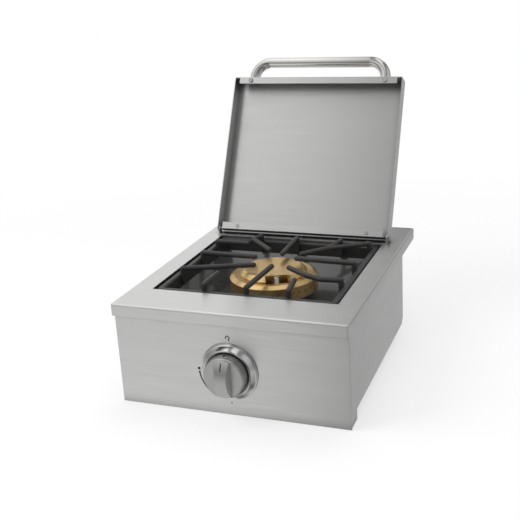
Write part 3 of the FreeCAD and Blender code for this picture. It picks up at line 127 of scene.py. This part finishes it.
floor_paper, tree = new_finish("seamless_paper_matt")
where = add(tree, "LightPath")
drift = add(tree, "TexNoise", {"Scale": 6.0, "Detail": 2.0})  # patches about 4 m wide
shade = add(tree, "MixRGB", {"Fac": drift.outputs[0], "Color1": paint("#F4F4F4"),
                             "Color2": paint("#FAFAFA")})
matt = add(tree, "BsdfDiffuse", {"Color": shade.outputs[0]})
glow = add(tree, "Emission", {"Color": paint("#FFFFFF"), "Strength": 1.0})
spot = add(tree, "TexCoord")
distance = add(tree, "VectorMath", {0: spot.outputs["Object"]}, operation="LENGTH")
fade = add(tree, "MapRange", {"Value": distance.outputs["Value"], "From Min": GLOW_NEAR,
                              "From Max": GLOW_FAR, "To Min": SHARE_NEAR, "To Max": SHARE_FAR},
           interpolation_type="SMOOTHSTEP")
lift = add(tree, "Math", {0: where.outputs["Is Camera Ray"], 1: fade.outputs[0]},
           operation="MULTIPLY")
mixed = add(tree, "MixShader", {"Fac": lift.outputs[0], 1: matt.outputs[0], 2: glow.outputs[0]})
add(tree, "OutputMaterial", {"Surface": mixed.outputs[0]})
floor_mesh.materials.append(floor_paper)
floor.visible_glossy = False
print("floor:", len(floor_mesh.polygons), "faces")

# %% [markdown]
# The world is plain white to the camera, an even soft fill to matt surfaces, and a whole
# studio room to metal, whose look is little more than what it mirrors. A photographed room
# would be the usual way, but three short lists do it here, and each stop can be moved.
# One list gives the brightness against height for the wall in front of the burner: a bright
# floor, a dark strip at eye level where the photographer stands, a lit wall and a bright
# ceiling. One does the same for the plain wall behind. The last runs from left to right and
# scales the other two. Its two dark stretches are the black flags that stand beside steel in
# a studio, so that its folds have a dark side and show.

# %% World
FRONT_WALL = [(-1.0, 0.85), (-0.55, 0.88), (-0.35, 0.88), (-0.20, 0.60), (-0.08, 0.34),
              (0.14, 0.34), (0.34, 0.66), (0.55, 0.90), (0.78, 0.95), (0.90, 1.40), (1.0, 1.5)]
BACK_WALL = [(-1.0, 0.80), (-0.45, 0.95), (0.0, 0.88), (0.5, 0.92), (0.8, 1.1), (1.0, 1.5)]
ACROSS = [(-1.0, 0.90), (-0.60, 0.95), (-0.30, 1.0), (-0.20, 0.24), (-0.08, 0.30), (0.02, 0.75),
          (0.08, 0.75), (0.15, 0.66), (0.27, 0.66), (0.36, 0.20), (0.52, 0.24), (0.70, 0.62),
          (1.0, 0.70)]
CORNER = 0.3  # how far round the corner the two walls blend
FILL_LEVEL = 0.62

world = bpy.data.worlds.new("studio")
bpy.context.scene.world = world
world.use_nodes = True
tree = world.node_tree
tree.nodes.clear()
where = add(tree, "LightPath")
direction = add(tree, "TexCoord")
axes = add(tree, "SeparateXYZ", {0: direction.outputs["Generated"]})
height = add(tree, "MapRange", {"Value": axes.outputs["Z"], "From Min": -1.0, "From Max": 1.0})
width = add(tree, "MapRange", {"Value": axes.outputs["X"], "From Min": -1.0, "From Max": 1.0})
behind = add(tree, "MapRange", {"Value": axes.outputs["Y"], "From Min": -CORNER,
                                "From Max": CORNER}, interpolation_type="SMOOTHSTEP")
front_wall = add(tree, "ValToRGB", {"Fac": height.outputs[0]})
back_wall = add(tree, "ValToRGB", {"Fac": height.outputs[0]})
across = add(tree, "ValToRGB", {"Fac": width.outputs[0]})
for ramp, stops in ((front_wall, FRONT_WALL), (back_wall, BACK_WALL), (across, ACROSS)):
    elements = ramp.color_ramp.elements
    while len(elements) < len(stops):
        elements.new(1.0)
    for element, (place, level) in zip(elements, stops):
        element.position = (place + 1) / 2
        element.color = (level, level, level, 1.0)
walls = add(tree, "MixRGB", {"Fac": behind.outputs[0], "Color1": front_wall.outputs[0],
                             "Color2": back_wall.outputs[0]})
room = add(tree, "MixRGB", {"Fac": 1.0, "Color1": walls.outputs[0], "Color2": across.outputs[0]},
           blend_type="MULTIPLY")
soft_fill = add(tree, "Background", {"Color": paint("#FFFFFF"), "Strength": FILL_LEVEL})
room_seen = add(tree, "Background", {"Color": room.outputs[0], "Strength": 1.0})
white = add(tree, "Background", {"Color": paint("#FFFFFF"), "Strength": 1.0})
metal_view = add(tree, "MixShader", {"Fac": where.outputs["Is Glossy Ray"], 1: soft_fill.outputs[0],
                                     2: room_seen.outputs[0]})
clear = add(tree, "Math", {0: where.outputs["Is Camera Ray"],
                           1: where.outputs["Is Transmission Ray"]}, operation="MAXIMUM")
seen = add(tree, "MixShader", {"Fac": clear.outputs[0], 1: metal_view.outputs[0],
                               2: white.outputs[0]})
add(tree, "OutputWorld", {"Surface": seen.outputs[0]})
print("stops:", [len(r.color_ramp.elements) for r in (front_wall, back_wall, across)])

# %% [markdown]
# Three soft boxes light the matt parts: the largest, high at the left, is the key, a weak one
# at the right keeps the shaded side readable, and one above and behind reaches into the well.
# A sun lamp would be simpler, but its shadows have hard edges. The metal doesn't mirror the
# boxes: their square outlines would show in the polished parts, and the room is enough.

# %% Lamps
def soft_box(name, place, target, size, power):
    """A square area lamp that looks at a point."""
    lamp = bpy.data.lights.new(name, "AREA")
    lamp.shape = "SQUARE"
    lamp.size = size
    lamp.energy = power
    box = bpy.data.objects.new(name, lamp)
    box.location = place
    box.rotation_euler = (Vector(target) - Vector(place)).to_track_quat("-Z", "Y").to_euler()
    bpy.context.scene.collection.objects.link(box)
    box.visible_glossy = False
    return box


key_box = soft_box("key_soft_box", (-1.1, -0.7, 1.5), (0, 0, 0.12), 1.1, 16.0)
fill_box = soft_box("fill_soft_box", (1.5, -0.6, 0.9), (0, 0, 0.12), 0.9, 3.5)
top_box = soft_box("top_soft_box", (0.1, 0.5, 1.7), (0, 0.05, 0.15), 0.9, 7.0)
print("lamps:", [b.name for b in (key_box, fill_box, top_box)])

# %% [markdown]
# Most of the burner is 1.2 to 1.5 mm stainless sheet, AISI 304, with a brushed finish. A
# belt leaves grit lines about 0.05 mm apart and some centimetres long. They would vanish in
# the picture, so they are drawn about 1.2 mm apart, which is close to one pixel. A picture of
# brushed steel could be wrapped round the sheet, but it would show seams at the folds. Noise
# that is stretched along the brushing has none. One finish runs along X, and one along Y for
# the sides. The lines also spread a reflection about three times as far across them as along
# them, which is the shader's anisotropy. What the eye sees is a soft reflection, smeared one
# way, never a mirror. The colour also carries painted shade. An ambient occlusion node darkens
# it in the inner corners and wherever another face comes within some 22 mm.

# %% Brushed stainless steel
STEEL = "#DFDFDE"
STREAK_LENGTH, STREAK_PITCH = 0.070, 0.0012
BAND_LENGTH, BAND_PITCH = 0.35, 0.016
CORNER_SHADE_REACH = 0.022


def brushed_stainless(name, along, tone=STEEL, rough=0.33):
    """Brushed sheet, with its grit lines along the X, Y or Z axis."""
    material, tree = new_finish(name)
    place = add(tree, "TexCoord")
    fine = [1 / STREAK_PITCH] * 3
    fine["XYZ".index(along)] = 1 / STREAK_LENGTH
    stretch = add(tree, "Mapping", {"Vector": place.outputs["Object"], "Scale": fine})
    streaks = add(tree, "TexNoise", {"Vector": stretch.outputs[0], "Scale": 1.0, "Detail": 3.0,
                                     "Roughness": 0.62})
    broad = [1 / BAND_PITCH] * 3
    broad["XYZ".index(along)] = 1 / BAND_LENGTH
    wide = add(tree, "Mapping", {"Vector": place.outputs["Object"], "Scale": broad})
    bands = add(tree, "TexNoise", {"Vector": wide.outputs[0], "Scale": 1.0, "Detail": 2.0})
    light = paint(tone)
    dark = [c * 0.95 for c in light[:3]] + [1.0]
    tint = add(tree, "MixRGB", {"Fac": streaks.outputs[0], "Color1": dark, "Color2": light})
    tint2 = add(tree, "MixRGB", {"Fac": 0.10, "Color1": tint.outputs[0],
                                 "Color2": bands.outputs[0]}, blend_type="OVERLAY")
    # Painted shade: ambient occlusion darkens the steel's colour in corners and near other faces.
    nook = add(tree, "AmbientOcclusion", {"Distance": CORNER_SHADE_REACH}, samples=6)
    painted_corner_shade = add(tree, "MapRange", {"Value": nook.outputs["AO"], "From Min": 0.25, "From Max": 0.80,
                                  "To Min": 0.35, "To Max": 1.0})
    tint3 = add(tree, "MixRGB", {"Fac": 1.0, "Color1": tint2.outputs[0], "Color2": painted_corner_shade.outputs[0]},
                blend_type="MULTIPLY")
    gloss = add(tree, "MapRange", {"Value": streaks.outputs[0], "From Min": 0.3, "From Max": 0.7,
                                   "To Min": rough - 0.05, "To Max": rough + 0.07})
    soft_edge = add(tree, "Bevel", {"Radius": 0.0006}, samples=4)
    relief = add(tree, "Bump", {"Height": streaks.outputs[0], "Strength": 0.012, "Distance": 0.0002,
                                "Normal": soft_edge.outputs[0]})
    # The quarter turn lays the wide side of a highlight across the lines.
    grain = add(tree, "CombineXYZ", {along: 1.0})
    skin = add(tree, "BsdfPrincipled", {"Base Color": tint3.outputs[0], "Metallic": 1.0,
                                        "Roughness": gloss.outputs[0], "Normal": relief.outputs[0],
                                        "Anisotropic": 0.75, "Anisotropic Rotation": 0.25,
                                        "Tangent": grain.outputs[0]})
    add(tree, "OutputMaterial", {"Surface": skin.outputs[0]})
    return material


steel_across = brushed_stainless("stainless_sheet_brushed_across", "X")
steel_deep = brushed_stainless("stainless_sheet_brushed_front_to_back", "Y")
print("streaks per 100 mm:", round(0.1 / STREAK_PITCH), "in", steel_across.name, steel_deep.name)

# %% [markdown]
# The handle is a 17 mm stainless tube, bent and then polished by hand. A mop leaves no lines,
# only a bright mirror with a faint haze in patches of some 4 mm. A plain mirror would look
# drawn, so noise of that size moves the roughness a little. The roughness stays low, and the
# studio shows in the tube as long light and dark bands.

# %% Polished stainless tube
HAZE = 0.004
tube_polish, tree = new_finish("stainless_tube_polished")
place = add(tree, "TexCoord")
haze = add(tree, "TexNoise", {"Vector": place.outputs["Object"], "Scale": 1 / HAZE, "Detail": 3.0})
gloss = add(tree, "MapRange", {"Value": haze.outputs[0], "From Min": 0.3, "From Max": 0.7,
                               "To Min": 0.10, "To Max": 0.17})
relief = add(tree, "Bump", {"Height": haze.outputs[0], "Strength": 0.04, "Distance": 0.0002})
skin = add(tree, "BsdfPrincipled", {"Base Color": paint("#D6D5D2"), "Metallic": 1.0,
                                    "Roughness": gloss.outputs[0], "Normal": relief.outputs[0]})
add(tree, "OutputMaterial", {"Surface": skin.outputs[0]})
print("haze patches per 100 mm:", round(0.1 / HAZE))

# %% [markdown]
# The grate is sand-cast iron under a matt black enamel. Sand grains of 0.2 to 0.4 mm leave a
# fine pebbled skin, drawn at 1.4 mm here so that it shows, and larger swells where the mould
# was rammed. The mesh itself could be pushed in and out, but dents of a tenth of a millimetre
# would need a great many faces, so two noises in the bump do it. The enamel gives broad grey
# highlights along the rounded tops.

# %% Cast iron, matt enamelled
SAND_GRAIN, MOULD_SWELL = 0.0014, 0.012
grate_iron, tree = new_finish("cast_iron_matt_enamelled")
place = add(tree, "TexCoord")
grains = add(tree, "TexNoise", {"Vector": place.outputs["Object"], "Scale": 1 / SAND_GRAIN,
                                "Detail": 2.0})
swells = add(tree, "TexNoise", {"Vector": place.outputs["Object"], "Scale": 1 / MOULD_SWELL,
                                "Detail": 2.0})
relief = add(tree, "Bump", {"Height": grains.outputs[0], "Strength": 0.35, "Distance": 0.0003})
relief2 = add(tree, "Bump", {"Height": swells.outputs[0], "Strength": 0.30, "Distance": 0.0010,
                             "Normal": relief.outputs[0]})
tint = add(tree, "MixRGB", {"Fac": swells.outputs[0], "Color1": paint("#262626"),
                            "Color2": paint("#343433")})
gloss = add(tree, "MapRange", {"Value": grains.outputs[0], "From Min": 0.3, "From Max": 0.7,
                               "To Min": 0.40, "To Max": 0.54})
skin = add(tree, "BsdfPrincipled", {"Base Color": tint.outputs[0], "Metallic": 0.0, "IOR": 1.55,
                                    "Roughness": gloss.outputs[0], "Normal": relief2.outputs[0]})
add(tree, "OutputMaterial", {"Surface": skin.outputs[0]})
print("grains across a 10 mm bar:", round(0.010 / SAND_GRAIN))

# %% [markdown]
# The burner ring and its cap are forged brass, turned on a lathe. The tool leaves rings round
# the axis, about 0.15 mm apart, drawn at 1.3 mm so that they show. Real grooves could be
# turned into the mesh, but a wave in rings about the burner's own centre gives the same sheen.
# Heat has browned the metal a little in soft patches.

# %% Turned brass
ring_low, ring_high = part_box("outer_burner_ring")
burner_centre = (ring_low + ring_high) / 2
TOOL_PITCH = 0.0013
HEAT_PATCH = 0.022

burner_brass, tree = new_finish("brass_turned_heat_toned")
place = add(tree, "TexCoord")
centred = add(tree, "VectorMath", {0: place.outputs["Object"], 1: burner_centre},
              operation="SUBTRACT")
# A wave of scale 1 has a ring every 2 pi / 20 of a unit.
turning = add(tree, "TexWave", {"Vector": centred.outputs[0], "Distortion": 0.6, "Detail": 1.0,
                                "Scale": 2 * math.pi / (20 * TOOL_PITCH)},
              wave_type="RINGS", rings_direction="Z")
patches = add(tree, "TexNoise", {"Vector": place.outputs["Object"], "Scale": 1 / HEAT_PATCH,
                                 "Detail": 3.0})
tint = add(tree, "MixRGB", {"Fac": patches.outputs[0], "Color1": paint("#DDB878"),
                            "Color2": paint("#F0D39C")})
gloss = add(tree, "MapRange", {"Value": patches.outputs[0], "From Min": 0.3, "From Max": 0.7,
                               "To Min": 0.30, "To Max": 0.40})
soft_edge = add(tree, "Bevel", {"Radius": 0.0008}, samples=4)
relief = add(tree, "Bump", {"Height": turning.outputs["Fac"], "Strength": 0.08, "Distance": 0.0002,
                            "Normal": soft_edge.outputs[0]})
skin = add(tree, "BsdfPrincipled", {"Base Color": tint.outputs[0], "Metallic": 1.0,
                                    "Roughness": gloss.outputs[0], "Normal": relief.outputs[0]})
add(tree, "OutputMaterial", {"Surface": skin.outputs[0]})
print("burner centre:", [round(c, 4) for c in burner_centre])

# %% [markdown]
# The well is pressed steel under dark grey porcelain enamel, fired on at about 800 degrees.
# The glass layer is smooth with a faint orange peel of 3 mm, and shiny enough for the sloped
# walls to pick up the pale room. It could be one glossy surface, but a rougher ground under a
# clear coat looks deeper, as glass on a dull body does. Fine pale specks are part of the frit.

# %% Porcelain enamel
ORANGE_PEEL, SPECK_PITCH = 0.003, 0.0022
well_enamel, tree = new_finish("porcelain_enamel_dark_grey")
place = add(tree, "TexCoord")
peel = add(tree, "TexNoise", {"Vector": place.outputs["Object"], "Scale": 1 / ORANGE_PEEL,
                              "Detail": 1.0})
specks = add(tree, "TexVoronoi", {"Vector": place.outputs["Object"], "Scale": 1 / SPECK_PITCH})
fleck = add(tree, "MapRange", {"Value": specks.outputs["Distance"], "From Min": 0.10,
                               "From Max": 0.24, "To Min": 0.45, "To Max": 0.0})
tint = add(tree, "MixRGB", {"Fac": fleck.outputs[0], "Color1": paint("#454544"),
                            "Color2": paint("#6D6C6A")})
relief = add(tree, "Bump", {"Height": peel.outputs[0], "Strength": 0.12, "Distance": 0.0003})
skin = add(tree, "BsdfPrincipled", {"Base Color": tint.outputs[0], "Metallic": 0.0, "IOR": 1.52,
                                    "Roughness": 0.20, "Coat Weight": 1.0, "Coat Roughness": 0.06,
                                    "Normal": relief.outputs[0]})
add(tree, "OutputMaterial", {"Surface": skin.outputs[0]})
print("specks per square cm:", round((0.01 / SPECK_PITCH) ** 2))

# %% [markdown]
# The knob is die-cast zinc with a satin chrome plate. It is blasted before plating, which
# gives an even, fine grain and a soft sheen. The ring round it has the same plate over a
# polished blank, so it mirrors the room much more sharply. Screws and hinge pins are plated
# with zinc, and the spring, the valve's stem and the electrode's pin with nickel. Each could
# have its own tree, but a plate is so thin that it follows its blank, and one function with
# the blank's grain and roughness makes all four.

# %% Plated metal
def plated(name, tone, rough, grain_size, depth):
    """A plate on a metal blank. The blank's grain sets how soft the sheen is."""
    material, tree = new_finish(name)
    place = add(tree, "TexCoord")
    grain = add(tree, "TexNoise", {"Vector": place.outputs["Object"], "Scale": 1 / grain_size,
                                   "Detail": 2.0})
    gloss = add(tree, "MapRange", {"Value": grain.outputs[0], "From Min": 0.3, "From Max": 0.7,
                                   "To Min": rough * 0.85, "To Max": rough * 1.2})
    soft_edge = add(tree, "Bevel", {"Radius": 0.0007}, samples=4)
    relief = add(tree, "Bump", {"Height": grain.outputs[0], "Strength": depth, "Distance": 0.0002,
                                "Normal": soft_edge.outputs[0]})
    skin = add(tree, "BsdfPrincipled", {"Base Color": paint(tone), "Metallic": 1.0,
                                        "Roughness": gloss.outputs[0], "Normal": relief.outputs[0]})
    add(tree, "OutputMaterial", {"Surface": skin.outputs[0]})
    return material


knob_satin = plated("zinc_die_cast_satin_chrome", "#BFBFBD", 0.38, 0.0011, 0.06)
bezel_bright = plated("brass_blank_bright_chrome", "#D9D9D8", 0.13, 0.006, 0.02)
screw_plate = plated("steel_screw_zinc_plated", "#BDBEBC", 0.28, 0.0015, 0.05)
spring_steel = plated("spring_steel_plated", "#A8A9A8", 0.30, 0.0012, 0.05)
print("plated:", [m.name for m in (knob_satin, bezel_bright, screw_plate, spring_steel)])

# %% [markdown]
# Inside and behind, the sheet is plain galvanised steel. Zinc that cools on steel grows
# crystals of 5 to 10 mm, the spangle, and each one turns the light a little differently.
# Noise would give clouds with soft edges. A Voronoi pattern has flat cells with straight
# sides, so it gives every crystal its own shade and gloss.

# %% Galvanised steel
SPANGLE = 0.008
galvanised, tree = new_finish("steel_sheet_galvanised_spangle")
place = add(tree, "TexCoord")
crystals = add(tree, "TexVoronoi", {"Vector": place.outputs["Object"], "Scale": 1 / SPANGLE})
level = add(tree, "RGBToBW", {0: crystals.outputs["Color"]})
tint = add(tree, "MixRGB", {"Fac": level.outputs[0], "Color1": paint("#9EA2A4"),
                            "Color2": paint("#BCC0C2")})
gloss = add(tree, "MapRange", {"Value": level.outputs[0], "From Min": 0.0, "From Max": 1.0,
                               "To Min": 0.34, "To Max": 0.52})
relief = add(tree, "Bump", {"Height": level.outputs[0], "Strength": 0.08, "Distance": 0.0002})
skin = add(tree, "BsdfPrincipled", {"Base Color": tint.outputs[0], "Metallic": 1.0,
                                    "Roughness": gloss.outputs[0], "Normal": relief.outputs[0]})
add(tree, "OutputMaterial", {"Surface": skin.outputs[0]})
print("crystals across 100 mm:", round(0.1 / SPANGLE))

# %% [markdown]
# The mixing tube and the burner's base are sand-cast aluminium, left as cast: a dull, pale
# grey skin with a sandy grain of about 0.5 mm, drawn at 1.2 mm so that it shows. The valve and
# its fittings are machined brass, and the supply pipe is drawn aluminium with fine lines along
# it. All three are one grain, round for a casting and stretched along Y for a cutting tool or
# a drawing die, so they share a function and differ in its values.

# %% Castings, machined brass and drawn tube
def worked_metal(name, light, dark, rough, grain, depth, stretch=(1, 1, 1)):
    """Metal with a grain of one size that sets its colour, gloss and relief together."""
    material, tree = new_finish(name)
    place = add(tree, "TexCoord")
    scaled = add(tree, "Mapping", {"Vector": place.outputs["Object"],
                                   "Scale": [s / grain for s in stretch]})
    texture = add(tree, "TexNoise", {"Vector": scaled.outputs[0], "Scale": 1.0, "Detail": 3.0})
    tint = add(tree, "MixRGB", {"Fac": texture.outputs[0], "Color1": paint(dark),
                                "Color2": paint(light)})
    gloss = add(tree, "MapRange", {"Value": texture.outputs[0], "From Min": 0.3, "From Max": 0.7,
                                   "To Min": rough - 0.06, "To Max": rough + 0.06})
    relief = add(tree, "Bump", {"Height": texture.outputs[0], "Strength": depth,
                                "Distance": 0.0003})
    skin = add(tree, "BsdfPrincipled", {"Base Color": tint.outputs[0], "Metallic": 1.0,
                                        "Roughness": gloss.outputs[0], "Normal": relief.outputs[0]})
    add(tree, "OutputMaterial", {"Surface": skin.outputs[0]})
    return material


METAL_GRAIN = 0.0012
cast_aluminium = worked_metal("aluminium_sand_cast", "#B4B5B5", "#8E8F90", 0.52, METAL_GRAIN, 0.35)
machined_brass = worked_metal("brass_machined", "#D3AE62", "#B08C48", 0.30, METAL_GRAIN, 0.08,
                              (1, 0.1, 1))
drawn_aluminium = worked_metal("aluminium_tube_drawn", "#CFD0D0", "#B7B8B9", 0.27, METAL_GRAIN,
                               0.06, (1, 0.05, 1))
print("worked:", [m.name for m in (cast_aluminium, machined_brass, drawn_aluminium)])

# %% [markdown]
# The last few parts are not metal. The igniter's case is moulded ABS and its lead has a
# jacket of EPDM rubber, both near black with a faint moulded texture. The lid rests on grey
# silicone bumpers. The electrode's sleeve is glazed alumina, warm white, and the marks are
# matt black ink. A plain colour would do at this size, but a little grain keeps a close view
# true, and it costs one noise for all of them.

# %% Plastic, rubber and ceramic
def moulded(name, light, dark, rough, grain, index):
    """A non-metal with a fine moulded or fired texture."""
    material, tree = new_finish(name)
    place = add(tree, "TexCoord")
    texture = add(tree, "TexNoise", {"Vector": place.outputs["Object"], "Scale": 1 / grain,
                                     "Detail": 2.0})
    tint = add(tree, "MixRGB", {"Fac": texture.outputs[0], "Color1": paint(dark),
                                "Color2": paint(light)})
    relief = add(tree, "Bump", {"Height": texture.outputs[0], "Strength": 0.12, "Distance": 0.0002})
    skin = add(tree, "BsdfPrincipled", {"Base Color": tint.outputs[0], "Roughness": rough,
                                        "IOR": index, "Normal": relief.outputs[0]})
    add(tree, "OutputMaterial", {"Surface": skin.outputs[0]})
    return material


abs_black = moulded("abs_moulded_black", "#242425", "#1B1B1C", 0.42, 0.0012, 1.53)
epdm_black = moulded("epdm_rubber_moulded_black", "#202020", "#171717", 0.70, 0.0016, 1.50)
alumina = moulded("alumina_ceramic_glazed", "#EFEBE2", "#E0DACD", 0.24, 0.0030, 1.70)
silicone = moulded("silicone_rubber_moulded_grey", "#9D9D9B", "#929290", 0.60, 0.0016, 1.41)
mark_ink = moulded("screen_ink_matt_black", "#161617", "#101010", 0.50, 0.0020, 1.50)
print("not metal:", [m.name for m in (abs_black, epdm_black, alumina, silicone, mark_ink)])

# %% [markdown]
# Each solid gets its finish by name. The finish goes into the material slots that the solid
# came with, and nothing else about it changes. One table is easier to read than a line for
# each piece, and the count that it prints shows at once whether a solid was forgotten.

# %% Dress the solids
FINISHES = {
    steel_across: ["deck", "front_fascia", "lid_shell", "hinge_strip"],
    steel_deep: ["left_side_panel", "right_side_panel"],
    galvanised: ["rear_panel", "base_tray", "valve_bracket", "venturi_bracket", "pipe_clamp",
                 "electrode_bracket", "air_shutter"],
    tube_polish: ["lid_handle"],
    grate_iron: ["cooking_grate"],
    burner_brass: ["outer_burner_ring", "inner_burner_cap"],
    cast_aluminium: ["burner_base", "venturi_tube"],
    well_enamel: ["burner_well"],
    knob_satin: ["control_knob"],
    bezel_bright: ["knob_bezel"],
    machined_brass: ["gas_valve_body", "orifice_holder", "gas_orifice", "thrust_collar",
                     "valve_inlet_nut", "inlet_fitting", "bulkhead_nut"],
    drawn_aluminium: ["supply_pipe"],
    abs_black: ["piezo_igniter"],
    epdm_black: ["igniter_cable"],
    silicone: ["lid_bumpers"],
    alumina: ["electrode_insulator"],
    spring_steel: ["stem_spring", "electrode_pin", "valve_stem"],
    screw_plate: ["burner_screws", "electrode_screw", "shutter_screw", "bezel_screws",
                  "hinge_strip_screws", "left_hinge_pin", "right_hinge_pin", "lid_rivets",
                  "handle_screws", "handle_washers", "tray_screws", "panel_screws", "well_screws"],
}
dressed = 0
for material, names in FINISHES.items():
    for name in names:
        for slot in nodes[name].material_slots:
            slot.material = material
        dressed += 1
plain = set(nodes) - set(sum(FINISHES.values(), []))
print("dressed:", dressed, "of", len(nodes), "left:", sorted(plain))

# %% [markdown]
# Round the knob the front panel carries plain printed marks: a dot for off, a tapered arc
# for the travel of the flame, a small loop for lighting and a tick. The knob has a dot on its
# skirt and ink in the groove of its grip. Screen ink stands 0.1 mm proud here, and starts
# half of that under the surface so that no light shows beneath it. A picture laid over the
# panel would print marks too, but it would be soft from close by. Each mark is a set of flat
# outlines, and a rule says where a point of the outline lies on the panel or the knob.

# %% Printed marks
knob_low, knob_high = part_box("control_knob")
knob_x = (knob_low.x + knob_high.x) / 2
knob_z = (knob_low.z + knob_high.z) / 2
panel_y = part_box("front_fascia")[0].y
INK = 0.0001
CREST_BOW = 0.0428  # the radius of the grip's bowed front, seen from the side
CREST_INK_DEPTH = 0.0003
SKIRT_RADIUS, SKIRT_TAPER, SKIRT_OUT = 0.0286, 0.068, 0.0140  # at the dot's middle


def on_panel(across, up, lift):
    """A point on the front panel, from its distances to the knob's axis."""
    return (knob_x + across, panel_y - lift, knob_z + up)


def on_crest(across, up, lift):
    """A point in the groove of the grip's bowed crest, half way down to its floor."""
    bow = math.sqrt(CREST_BOW ** 2 - up ** 2)
    return (knob_x + across, knob_low.y + CREST_BOW - bow + CREST_INK_DEPTH - lift, knob_z + up)


def on_skirt(across, along, lift):
    """A point on top of the knob's skirt, which is a cone that tapers to the front."""
    radius = SKIRT_RADIUS + SKIRT_TAPER * along
    top = math.sqrt(radius ** 2 - across ** 2)
    return (knob_x + across, panel_y - SKIRT_OUT + along, knob_z + top + lift)


def printed_mark(name, outlines, surface=on_panel, body="case"):
    """Thin patches of ink that follow a surface and move with a body."""
    mesh = bmesh.new()
    for outline in outlines:
        top = [mesh.verts.new(surface(u, v, INK)) for u, v in outline]
        under = [mesh.verts.new(surface(u, v, -INK / 2)) for u, v in outline]
        mesh.faces.new(top)
        mesh.faces.new(under[::-1])
        for i in range(len(top)):
            j = (i + 1) % len(top)
            mesh.faces.new((top[j], top[i], under[i], under[j]))
    bmesh.ops.recalc_face_normals(mesh, faces=mesh.faces)
    data = bpy.data.meshes.new(name)
    mesh.to_mesh(data)
    mesh.free()
    piece = bpy.data.objects.new(name, data)
    bpy.context.scene.collection.objects.link(piece)
    data.materials.append(mark_ink)
    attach(piece, body)
    return piece


def disc(x, z, radius, count=24):
    """A round dot."""
    turns = [2 * math.pi * i / count for i in range(count)]
    return [(x + radius * math.cos(turn), z + radius * math.sin(turn)) for turn in turns]


def arc_band(radius, start, end, wide, narrow, count=28):
    """A curved stroke round the knob's axis, from a wide end to a narrow one. Angles in degrees."""
    outer, inner = [], []
    for i in range(count + 1):
        share = i / count
        turn = math.radians(start + (end - start) * share)
        half = (wide + (narrow - wide) * share) / 2
        outer.append(((radius + half) * math.cos(turn), (radius + half) * math.sin(turn)))
        inner.append(((radius - half) * math.cos(turn), (radius - half) * math.sin(turn)))
    return outer + inner[::-1]


def loop_band(x, z, radius, start, end, width, count=16):
    """A small open loop about its own centre."""
    band = arc_band(radius, start, end, width, width, count)
    return [(x + u, z + v) for u, v in band]


MARK_RADIUS = 0.0437
off_dot = printed_mark("mark_off_dot", [disc(-MARK_RADIUS, -0.0004, 0.0019)])
flame_arc = printed_mark("mark_flame_arc", [arc_band(MARK_RADIUS, 185.5, 240.0, 0.0021, 0.0010)])
light_loop = printed_mark("mark_light_loop", [
    loop_band(0.0, 0.0475, 0.0025, -60, 215, 0.0013),
    [(0.0006, 0.0451), (0.0019, 0.0449), (0.0027, 0.0426), (0.0018, 0.0424)]])
low_tick = printed_mark("mark_low_tick", [
    [(-0.0005, -0.0472), (0.0005, -0.0472), (0.0005, -0.0446), (-0.0005, -0.0446)]])
steps = [0.0137 + 0.0012 * i for i in range(9)]  # short flats that follow the bow
index_line = [[(-0.00065, a), (0.00065, a), (0.00065, b), (-0.00065, b)]
              for a, b in zip(steps, steps[1:])]
index_ink = printed_mark("mark_index_line", index_line, on_crest, "knob")
long_dot = [(u, 2 * v) for u, v in disc(0.0, 0.0, 0.0015)]
skirt_dot = printed_mark("mark_skirt_dot", [long_dot], on_skirt, "knob")
marks = (off_dot, flame_arc, light_loop, low_tick, index_ink, skirt_dot)
print("marks:", [m.name for m in marks])
